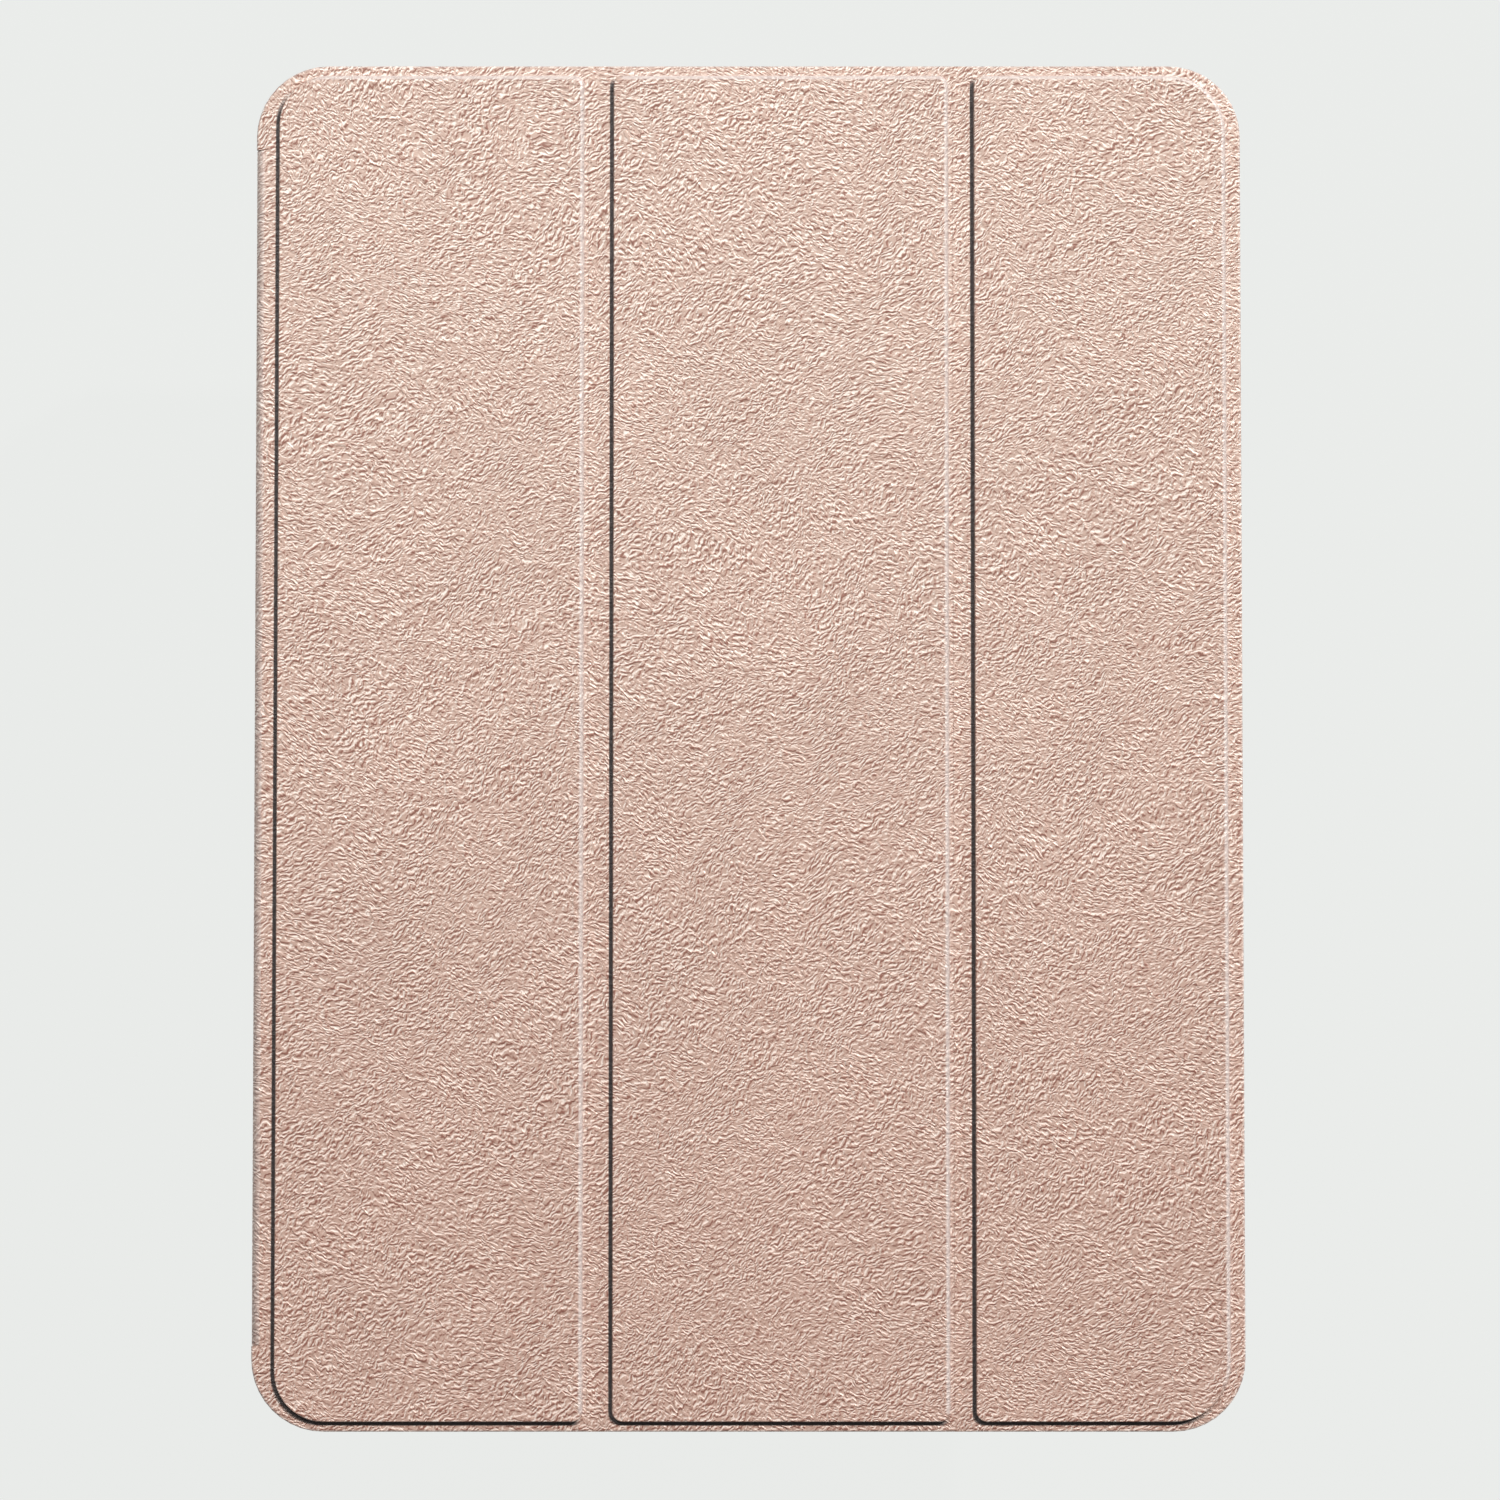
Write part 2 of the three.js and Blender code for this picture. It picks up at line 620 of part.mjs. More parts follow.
function caseTray() {
  const height = lipTop - backSkinThickness;
  const shape = roundedRectangle(2 * trayHalfWidth, 2 * trayHalfLength, coverCorner);
  const outside = plate(shape, backSkinThickness, height + trayEdgeRound, { round: trayEdgeRound });
  const pocketShape = roundedRectangle(tabletWidth + 2 * trayFit, tabletLength + 2 * trayFit,
    tabletCorner + trayFit);
  const mouthShape = roundedRectangle(tabletWidth - 2 * lipReach, tabletLength - 2 * lipReach,
    tabletCorner - lipReach);
  const wallTop = tabletTop + layerGap / 2;
  const pocket = plate(pocketShape, backSkinThickness + trayFloor, wallTop - backSkinThickness - trayFloor);
  const mouth = plate(mouthShape, wallTop - through, lipThickness + 2 * through);
  const far = tabletWidth + tabletLength;
  const betweenX = trayHalfWidth - lipLength;
  const betweenY = trayHalfLength - lipLength;
  const cutters = [
    pocket,
    mouth,
    block(-far, far, -far, far, lipTop, lipTop + far),
    block(-betweenX, betweenX, -far, far, wallTop, lipTop + through),
    block(-far, far, -betweenY, betweenY, wallTop, lipTop + through),
    ...wallCutters().map((g) => g.translate(0, 0, tabletZ)),
    cameraWindow(0, backSkinThickness + trayFloor + through, 0).translate(-tabletX, 0, 0),
  ];
  return cut(outside, cutters);
}

function backLeather() {
  const shape = roundedRectangle(2 * (trayHalfWidth - backSkinInset), 2 * (trayHalfLength - backSkinInset),
    coverCorner - backSkinInset);
  const sheet = plate(shape, 0, backSkinThickness).translate(tabletX, 0, 0);
  const start = coverLeft + creaseRadius + layerGap;
  const reach = tabletX - trayHalfWidth / 2;
  const wing = block(start, reach, -spineLength / 2, spineLength / 2, 0, backSkinThickness);
  const window = cameraWindow(-through, backSkinThickness + through, backWindowGrowth);
  return geometryOf(joined(sheet, wing).subtract(solid(window)));
}

add(folio, "back_shell", caseTray(), tray, [tabletX, 0, 0]);
add(folio, "back_leather", backLeather(), leather);

// ---------- spine ----------

// A quarter of a tube between two flat sheets at right angles, along the spine.
function crease(thickness, up) {
  const outer = creaseRadius;
  const inner = creaseRadius - thickness;
  const [from, to] = up ? [Math.PI, Math.PI / 2] : [Math.PI, 1.5 * Math.PI];
  const shape = new THREE.Shape();
  shape.absarc(0, 0, outer, from, to, up);
  shape.absarc(0, 0, inner, to, from, !up);
  const geometry = plate(shape, 0, spineLength, { steps: 5 });
  return geometry.rotateX(Math.PI / 2).translate(0, spineLength / 2, 0);
}

function addSpine() {
  const middle = coverLeft + creaseRadius;
  const lowerZ = creaseRadius + layerGap; // just clear of what the folio lies on
  add(folio, "lower_crease", crease(backSkinThickness, false), leather, [middle, 0, lowerZ]);
  add(folio, "upper_crease", crease(coverSkin, true), leather, [middle, 0, coverLow - creaseRadius]);
  const bottom = lowerZ + layerGap;
  const top = coverLow - creaseRadius - layerGap;
  const half = spineLength / 2;
  const strip = block(coverLeft, coverLeft + spineSkin, -half, half, bottom, top);
  add(folio, "spine_leather", strip, leather);
  const inside = coverLeft + spineSkin;
  const lining = block(inside, inside + spineLining, -half, half, bottom, top);
  add(folio, "spine_lining", lining, microfibre);
}

addSpine();

// ---------- cover: stiffeners, leather, lining and magnets ----------

// A pad's outline: its outer corners follow the cover's, the ones beside a fold are small.
function padShape(n, grow = 0) {
  const pad = pads[n];
  const outer = coverCorner - (n === 0 ? hingeMargin : freeMargin) + grow;
  const inner = Math.max(padCorner + grow, 0.3);
  const corners = [
    [outer, inner, inner, outer],
    [inner, inner, inner, inner],
    [inner, outer, outer, inner],
  ][n];
  return roundedRectangle(pad.width + 2 * grow, coverLength - 2 * endMargin + 2 * grow, corners);
}

const panelEdges = [
  [coverLeft, folds[0].middle - folds[0].gap / 2 + foldBorder],
  [folds[0].middle + folds[0].gap / 2 - foldBorder, folds[1].middle - folds[1].gap / 2 + foldBorder],
  [folds[1].middle + folds[1].gap / 2 - foldBorder, coverRight],
];

const coverShape = (inset) =>
  roundedRectangle(coverWidth - 2 * inset, coverLength - 2 * inset, coverCorner - inset);

function slab(n, z0, z1) {
  const far = coverLength;
  const [from, to] = panelEdges[n];
  const reach = [[from - far, to], [from, to], [from, to + far]][n];
  return solid(block(...reach, -far, far, z0, z1));
}

// Room for the upper crease, cut from the first panel along the spine.
function creaseRoom(clear) {
  const half = spineLength / 2 + layerGap;
  const right = coverLeft + creaseRadius + clear;
  return solid(block(coverLeft - through, right, -half, half, coverZ - through, coverTop + through));
}

function panelLeather(n) {
  const sheet = solid(plate(coverShape(0), coverZ, coverLow - coverZ));
  const padBlock = plate(padShape(n), leatherZ, coverTop - leatherZ + padBevel, {
    round: padBevel,
    roundSteps: 2,
    steps: 5,
  }).translate(pads[n].middle, 0, -padBevel);
  const well = plate(padShape(n, -coverSkin + stiffenerFit), leatherZ - through,
    through + stiffener + layerGap, { steps: 5 }).translate(pads[n].middle, 0, 0);
  const underside = plate(coverShape(edgeTurn), coverZ - through, through + coverLining);
  let body = sheet.intersect(slab(n, coverZ - through, coverTop + through));
  body = body.add(solid(padBlock).intersect(slab(n, leatherZ, coverTop + through)));
  body = body.subtract(solid(underside)).subtract(solid(well));
  return geometryOf(n === 0 ? body.subtract(creaseRoom(layerGap)) : body);
}

function panelLining(n) {
  const sheet = solid(plate(coverShape(edgeTurn + layerGap), coverZ, coverLining));
  const body = sheet.intersect(slab(n, coverZ - through, coverTop));
  return geometryOf(n === 0 ? body.subtract(creaseRoom(layerGap)) : body);
}

function addPanels() {
  pads.forEach((pad, n) => {
    add(folio, `panel_${n + 1}_leather`, panelLeather(n), leather);
    add(folio, `panel_${n + 1}_lining`, panelLining(n), microfibre);
    const board = plate(padShape(n, -coverSkin), 0, stiffener, { steps: 5 });
    const pockets = coverMagnets
      .filter((m) => m.panel === n)
      .map((m) => magnetBar(layerGap).translate(m.x - pad.middle, m.y, -layerGap));
    const stiff = pockets.length ? cut(board, pockets) : board;
    add(folio, `panel_${n + 1}_stiffener`, stiff, fibreboard, [pad.middle, 0, leatherZ]);
  });
  for (const m of coverMagnets) add(folio, m.name, magnetBar(0), magnet, [m.x, m.y, leatherZ]);
  folds.forEach(({ middle, gap }, n) => {
    const half = gap / 2 - foldBorder - layerGap;
    const end = coverLength / 2;
    const strip = block(-half, half, -end, end, coverZ, coverLow);
    add(folio, `fold_strip_${n + 1}`, strip, leather, [middle, 0, 0]);
  });
}

function magnetBar(grow) {
  const x = magnetWidth / 2 + grow;
  const y = magnetLength / 2 + grow;
  return block(-x, x, -y, y, 0, magnetThickness + 2 * grow);
}

// Two bars close the free edge over the tablet's latch magnets, and one beside the spine holds the stand.
const coverMagnets = [
  ...magnetPlaces.map(([name, y]) => ({
    name: `cover_magnet_${name}`,
    panel: 2,
    x: pads[2].right - coverSkin - magnetWidth,
    y,
  })),
  { name: "stand_magnet", panel: 0, x: pads[0].left + coverSkin + magnetWidth, y: 0 },
];

addPanels();

export default part;
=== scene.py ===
import json
import math

import bmesh
import bpy
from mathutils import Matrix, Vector, noise


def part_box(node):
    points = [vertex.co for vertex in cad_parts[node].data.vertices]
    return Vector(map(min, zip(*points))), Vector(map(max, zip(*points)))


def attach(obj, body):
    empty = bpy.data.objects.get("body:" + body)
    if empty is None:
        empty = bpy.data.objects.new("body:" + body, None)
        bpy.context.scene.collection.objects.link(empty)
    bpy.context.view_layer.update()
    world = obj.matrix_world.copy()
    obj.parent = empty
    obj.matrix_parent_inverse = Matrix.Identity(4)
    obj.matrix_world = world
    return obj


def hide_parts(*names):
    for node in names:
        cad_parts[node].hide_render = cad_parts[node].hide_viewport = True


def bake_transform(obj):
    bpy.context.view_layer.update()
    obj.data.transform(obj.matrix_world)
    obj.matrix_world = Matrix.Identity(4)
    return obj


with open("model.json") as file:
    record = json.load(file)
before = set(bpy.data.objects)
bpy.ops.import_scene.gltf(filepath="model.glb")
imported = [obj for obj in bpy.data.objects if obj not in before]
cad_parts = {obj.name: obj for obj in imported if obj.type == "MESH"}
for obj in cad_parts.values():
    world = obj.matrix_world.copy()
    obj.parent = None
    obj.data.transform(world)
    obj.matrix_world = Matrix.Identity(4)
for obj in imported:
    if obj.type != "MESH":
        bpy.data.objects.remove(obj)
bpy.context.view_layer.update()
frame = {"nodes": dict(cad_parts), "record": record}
mm = 0.001
print("frame loaded:", len(frame["nodes"]), "nodes")


def boxOf(node):
    # lowest and highest corner of a CAD node, in millimetres
    low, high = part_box(node)
    return low / mm, high / mm


def middleOf(node):
    lowCorner, highCorner = boxOf(node)
    return (lowCorner + highCorner) / 2


# shader maths: a wire is one output socket, and works in plain expressions

class Graph:
    def __init__(self, name):
        self.material = bpy.data.materials.new(name)
        self.material.use_nodes = True
        self.tree = self.material.node_tree
        self.tree.nodes.clear()

    def node(self, kind, settings=None, sockets=None, out=0):
        made = self.tree.nodes.new(kind)
        for name, value in (settings or {}).items():
            if name == "stops":
                setStops(made.color_ramp, value)
            else:
                setattr(made, name, value)
        for name, value in (sockets or {}).items():
            if isinstance(value, Wire):
                self.tree.links.new(value.socket, made.inputs[name])
            else:
                made.inputs[name].default_value = value
        return Wire(self, made.outputs[out]) if made.outputs else made

    def finish(self, shader):
        self.node("ShaderNodeOutputMaterial", None, {"Surface": shader})
        return self.material


class Wire:
    def __init__(self, graph, socket):
        self.graph = graph
        self.socket = socket

    def math(self, operation, first, second=0):
        return self.graph.node("ShaderNodeMath", {"operation": operation}, {0: first, 1: second})

    def __add__(self, other):
        return self.math("ADD", self, other)

    def __radd__(self, other):
        return self.math("ADD", other, self)

    def __sub__(self, other):
        return self.math("SUBTRACT", self, other)

    def __rsub__(self, other):
        return self.math("SUBTRACT", other, self)

    def __mul__(self, other):
        return self.math("MULTIPLY", self, other)

    def __rmul__(self, other):
        return self.math("MULTIPLY", other, self)

    def __abs__(self):
        return self.math("ABSOLUTE", self)

    def step(self, start, end, low=0, high=1):
        # a smooth step of the wire's value between start and end
        settings = {"interpolation_type": "SMOOTHSTEP"}
        sockets = {"Value": self, "From Min": start, "From Max": end, "To Min": low, "To Max": high}
        return self.graph.node("ShaderNodeMapRange", settings, sockets)

    def part(self, axis):
        return self.graph.node("ShaderNodeSeparateXYZ", None, {0: self}, axis)


def setStops(ramp, stops):
    while len(ramp.elements) < len(stops):
        ramp.elements.new(0.5)
    for element, (place, color) in zip(ramp.elements, stops):
        element.position = place
        element.color = (*color, 1)


def mixColor(graph, factor, first, second, blend="MIX"):
    settings = {"data_type": "RGBA", "blend_type": blend}
    paint = [c if isinstance(c, Wire) else (*c, 1) for c in (first, second)]
    return graph.node("ShaderNodeMix", settings, {0: factor, 6: paint[0], 7: paint[1]}, 2)


def addVectors(graph, first, second):
    return graph.node("ShaderNodeVectorMath", {"operation": "ADD"}, {0: first, 1: second})


def noiseOf(graph, place, size, detail=0, rough=0.5, out=0):
    # a noise whose blobs are about size across, in the units of place
    sockets = {"Vector": place, "Scale": 1 / size, "Detail": detail, "Roughness": rough}
    return graph.node("ShaderNodeTexNoise", None, sockets, out)


def wander(graph, place, size, reach):
    # place pushed about smoothly, up to about reach, over blobs of size
    cloud = noiseOf(graph, place, size, out=1)
    centred = graph.node("ShaderNodeVectorMath", {"operation": "SUBTRACT"}, {0: cloud, 1: (0.5, 0.5, 0.5)})
    push = graph.node("ShaderNodeVectorMath", {"operation": "SCALE"}, {0: centred, "Scale": 4 * reach})
    return addVectors(graph, place, push)


def streakHeight(graph, place, angle, length, width, low, high):
    # ridges lying along angle, flat between
    sockets = {
        "Vector": place,
        "Rotation": (0, 0, math.radians(angle)),
        "Scale": (length, width, width),
    }
    turned = graph.node("ShaderNodeMapping", {"vector_type": "TEXTURE"}, sockets)
    return noiseOf(graph, turned, 1, 1, 0.4).step(low, high)


def bumped(graph, height, depth):
    return graph.node("ShaderNodeBump", None, {"Height": height, "Distance": depth * mm})


# leather: pressed grain of short wavy ridges, with a painted highlight on one side of each ridge and painted
# shade on the other

leatherLook = {
    "ground": (0.615, 0.443, 0.363),
    # light and dark: the painted highlight and painted shade on the flanks of the grain's ridges
    "light": (0.97, 0.87, 0.78),
    "dark": (0.32, 0.155, 0.115),
    # the tint of the painted shade toward the foot of the hide
    "paintedFootShade": (0.93, 0.85, 0.835),
    # a pale colour for the painted highlight on the pads' lit shoulders, and for the worn, painted-light
    # outer edges
    "highlightAndWear": (0.70, 0.63, 0.60),
    # a near-black colour for the painted shadow at the foot of the pads' walls that face away from the key
    # light
    "paintedShade": (0.13, 0.108, 0.10),
    "swirl": (50, 3.2),
    "bend": (8, 0.45),
    "wave": (1.5, 0.22),
    "ridgeTurns": (34, -18),  # degrees, one or the other by patches
    "patchSize": 11,
    "patchSpan": (0.42, 0.62),
    "ridgeLength": 0.86,
    "ridgeWidth": 0.47,
    "ridgeSpan": (0.38, 0.62),
    "creaseSize": 7.5,
    "creaseSpan": (0.03, 0.002),
    "creaseRise": 0.55,
    "shift": (0.12, -0.2, 0),  # from a ridge to its shaded side
    "fineSize": 0.35,
    "fineShare": 0.16,
    "mottleSize": 24,
    "mottleTones": ((0.93, 0.93, 0.93), (1.06, 1.06, 1.06)),
    "paintedFootShadeSpan": (120, -150),  # from the top of the hide to its foot, over which painted shade darkens and reddens the leather
    "depth": 0.07,
}


def leatherMaterial():
    look = leatherLook
    graph = Graph("pressed_leather")
    hide = graph.node("ShaderNodeAttribute", {"attribute_name": "hide"}, None, 1)
    flow = wander(graph, wander(graph, wander(graph, hide, *look["swirl"]), *look["bend"]), *look["wave"])
    beside = addVectors(graph, flow, look["shift"])
    turn = noiseOf(graph, hide, look["patchSize"], 1).step(*look["patchSpan"])
    ridge = [look["ridgeLength"], look["ridgeWidth"], *look["ridgeSpan"]]
    levels = []
    for spot in (flow, beside):
        first = streakHeight(graph, spot, look["ridgeTurns"][0], *ridge)
        second = streakHeight(graph, spot, look["ridgeTurns"][1], *ridge)
        crease = abs(noiseOf(graph, spot, look["creaseSize"], 1.5, 0.6) - 0.5)
        crease = crease.step(*look["creaseSpan"]) * look["creaseRise"]
        levels.append(first * (1 - turn) + second * turn + crease)
    height = levels[0]
    # the height one step toward the shaded side less the height here: it paints a highlight on one flank of
    # each ridge and shade on the other
    paintedRidgeShade = levels[1] - levels[0]
    fine = noiseOf(graph, hide, look["fineSize"], 2, 0.6)
    tone = paintedRidgeShade * 0.5 + 0.5 + (fine - 0.5) * look["fineShare"]
    stops = [(0.2, look["dark"]), (0.45, look["ground"]), (0.55, look["ground"]), (0.8, look["light"])]
    paint = graph.node("ShaderNodeValToRGB", {"stops": stops}, {"Fac": tone})
    mottle = noiseOf(graph, hide, look["mottleSize"], 3, 0.6)
    paint = mixColor(graph, 1, paint, mixColor(graph, mottle, *look["mottleTones"]), "MULTIPLY")
    # painted shade: the leather is darker and rosier toward its foot, standing in for the brighter sheen at
    # its top
    down = hide.part(1).step(*look["paintedFootShadeSpan"])
    paint = mixColor(graph, down, paint, mixColor(graph, 1, paint, look["paintedFootShade"], "MULTIPLY"))
    # painted highlight on the pads' lit shoulders, and wear with painted light on the outer edges
    rub = graph.node("ShaderNodeAttribute", {"attribute_name": "rub"}, None, 2)
    paint = mixColor(graph, rub * (0.55 + 0.3 * fine), paint, look["highlightAndWear"])
    # painted shadow at the foot of the pads' walls that face away from the key light
    groove = graph.node("ShaderNodeAttribute", {"attribute_name": "groove"}, None, 2)
    paint = mixColor(graph, groove, paint, look["paintedShade"])
    sockets = {
        "Base Color": paint,
        "Roughness": 0.50 - 0.12 * tone + (mottle - 0.5) * 0.1,
        "Metallic": 0.1,
        "Specular IOR Level": 0.38,
        "Coat Weight": 0.04,
        "Coat Roughness": 0.35,
        "Normal": bumped(graph, height + fine * 0.12, look["depth"]),
    }
    return graph.finish(graph.node("ShaderNodeBsdfPrincipled", None, sockets))


# microfibre: short nap brushed in patches

liningLook = {
    "nap": (0.47, 0.365, 0.325),
    "napDark": (0.335, 0.25, 0.22),
    "fibreLength": 0.9,
    "fibreWidth": 0.16,
    "fibreSpan": (0.2, 0.8),
    "fibreTurns": (62, 118),
    "brushSize": 17,
    "sheen": (0.9, 0.82, 0.78, 1),
    "depth": 0.09,
}


def liningMaterial():
    look = liningLook
    graph = Graph("brushed_microfibre")
    hide = graph.node("ShaderNodeAttribute", {"attribute_name": "hide"}, None, 1)
    flow = wander(graph, hide, 9, 0.8)
    fibre = [look["fibreLength"], look["fibreWidth"], *look["fibreSpan"]]
    along = streakHeight(graph, flow, look["fibreTurns"][0], *fibre)
    cross = streakHeight(graph, flow, look["fibreTurns"][1], *fibre)
    brushed = noiseOf(graph, hide, look["brushSize"], 3, 0.6)
    pile = along * 0.6 + cross * 0.4
    tone = (brushed - 0.5) * 0.9 + (pile - 0.5) * 0.7 + 0.5
    sockets = {
        "Base Color": mixColor(graph, tone.step(0.1, 0.9), look["napDark"], look["nap"]),
        "Roughness": 0.97 - 0.15 * brushed,
        "Specular IOR Level": 0.2,
        "Sheen Weight": 0.5,
        "Sheen Roughness": 0.45,
        "Sheen Tint": look["sheen"],
        "Normal": bumped(graph, pile + brushed * 0.5, look["depth"]),
    }
    return graph.finish(graph.node("ShaderNodeBsdfPrincipled", None, sockets))


leather = leatherMaterial()
lining = liningMaterial()
print("leather and microfibre mixed")


# mesh helpers, all in millimetres

def outline(left, right, low, high, radii, alongStops, acrossStops, arcSteps=10):
    # a rectangle with rounded corners, anticlockwise from the left side's low end. radii are those of the
    # low left, low right, high right and high left corner, and stops run from -1 to 1 along a straight side.
    # Every call with the same stops gives the same number of points, each with its outward direction.
    corners = [(left, low, 180), (right, low, 270), (right, high, 0), (left, high, 90)]
    arcs = []
    for (x, y, start), radius in zip(corners, radii):
        middleX = x + radius if x == left else x - radius
        middleY = y + radius if y == low else y - radius
        arc = []
        for i in range(arcSteps + 1):
            angle = math.radians(start + 90 * i / arcSteps)
            facing = Vector((math.cos(angle), math.sin(angle)))
            arc.append((middleX + radius * facing.x, middleY + radius * facing.y, facing))
        arcs.append(arc)
    points = []
    for k, arc in enumerate(arcs):
        points += arc
        begin = arc[-1]
        end = arcs[(k + 1) % 4][0]
        for stop in acrossStops if k % 2 == 0 else alongStops:
            share = (stop + 1) / 2
            x = begin[0] + share * (end[0] - begin[0])
            y = begin[1] + share * (end[1] - begin[1])
            points.append((x, y, begin[2]))
    return points


def evenStops(count):
    return [2 * i / count - 1 for i in range(1, count)]


def fillFaces(start, alongCount, acrossCount, arcSteps=10):
    # faces that fill a ring made by outline: one at each end, and rungs between the two long sides
    total = 4 * (arcSteps + 1) + 2 * alongCount + 2 * acrossCount
    lowEnd = 2 * arcSteps + 1 + acrossCount
    highStart = lowEnd + alongCount + 1
    highEnd = highStart + 2 * arcSteps + 1 + acrossCount
    right = list(range(lowEnd, highStart + 1))
    left = [0] + list(range(total - 1, highEnd - 1, -1))
    faces = [list(range(0, lowEnd + 1)), list(range(highStart, highEnd + 1))]
    for i in range(len(right) - 1):
        faces.append([left[i], right[i], right[i + 1], left[i + 1]])
    return [[start + k for k in face] for face in faces]


def meshPiece(name, points, faces, body=None, materials=(), facets=35, layers=None):
    mesh = bpy.data.meshes.new(name)
    mesh.from_pydata([Vector(p) * mm for p in points], [], faces)
    mesh.validate()
    for label, values in (layers or {}).items():
        kind = "FLOAT_VECTOR" if label == "hide" else "FLOAT"
        layer = mesh.attributes.new(label, kind, "POINT")
        flat = [c for v in values for c in v] if label == "hide" else values
        layer.data.foreach_set("vector" if label == "hide" else "value", flat)
    tidy = bmesh.new()
    tidy.from_mesh(mesh)
    bmesh.ops.recalc_face_normals(tidy, faces=tidy.faces)
    tidy.to_mesh(mesh)
    tidy.free()
    mesh.polygons.foreach_set("use_smooth", [True] * len(mesh.polygons))
    mesh.set_sharp_from_angle(angle=math.radians(facets))
    piece = bpy.data.objects.new(name, mesh)
    bpy.context.scene.collection.objects.link(piece)
    for material in materials:
        mesh.materials.append(material)
    if body:
        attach(piece, body)
    return piece


def ringFaces(count, rings):
    faces = []
    for k in range(rings - 1):
        for i in range(count):
            j = (i + 1) % count
            faces.append([k * count + i, k * count + j, (k + 1) * count + j, (k + 1) * count + i])
    return faces


# cover panels: a raised pad on thin leather, its edge turned down round the lining

spineHalf = boxOf("spine_leather")[1].y
coverHigh = boxOf("panel_2_leather")[1]
coverBase = boxOf("panel_2_leather")[0].z
lowLeather = boxOf("fold_strip_1")[1].z
coverEnd = coverHigh.y
creaseRight = boxOf("back_leather")[0].x
coverCorner = 13.3
notchEdge = 0.04  # half the width of the step beside the spine's end
arcReach = 0.965  # share of a straight side that keeps clear of that step

panelLook = {
    "endMargin": 1.8,
    "foldBorder": (1.0, 0.72),
    "outerMargin": [4.2, 0, 2.7],
    "innerCorner": 2.0,
    "steepWall": 0.22,
    "softWall": 0.88,
    "sag": 0.05,
    "sagSize": 31,
    # width of the painted shadow beyond the foot of a pad's shaded walls
    "paintedShadowWidth": 0.56,
    "topInsets": (16, 10, 6, 3.4, 1.7),
    "wall": ((1, 1, 0.3), (0.74, 0.965, 0.9), (0.5, 0.86, 1), (0.3, 0.68, 1), (0.14, 0.42, 0.9),
             (0.05, 0.16, 0.6)),  # out from the wall, up it, and how much painted highlight it takes on its lit side
}
edgeTurn = [(0.4, lowLeather), (0.2, lowLeather - 0.03), (0.07, lowLeather - 0.1), (0.01, lowLeather - 0.2),
            (0, lowLeather - 0.4), (0, coverBase + 0.3), (0.08, coverBase + 0.1), (0.28, coverBase)]
alongFractions = evenStops(46)
acrossFractions = evenStops(10)
# a pale band on the cover's outer edges and the spine's crease: wear, and painted light that lifts the shade
# on these rounded edges
edgeWearAndLight = 0.42


def notchedStops(stops, straight):
    # the stops, with one on each side of the spine's ends
    steps = [(spineHalf + d) / straight for d in (-notchEdge, notchEdge)]
    return sorted([f for f in stops if abs(f) < arcReach] + steps + [-f for f in steps])


firstFractions = notchedStops(alongFractions, coverEnd - coverCorner)


def sagAt(x, y):
    place = Vector((x, y * 0.6, 0)) / panelLook["sagSize"]
    return panelLook["sag"] * (0.5 + 0.5 * noise.noise(place) + 0.3 * noise.noise(place * 2.7))


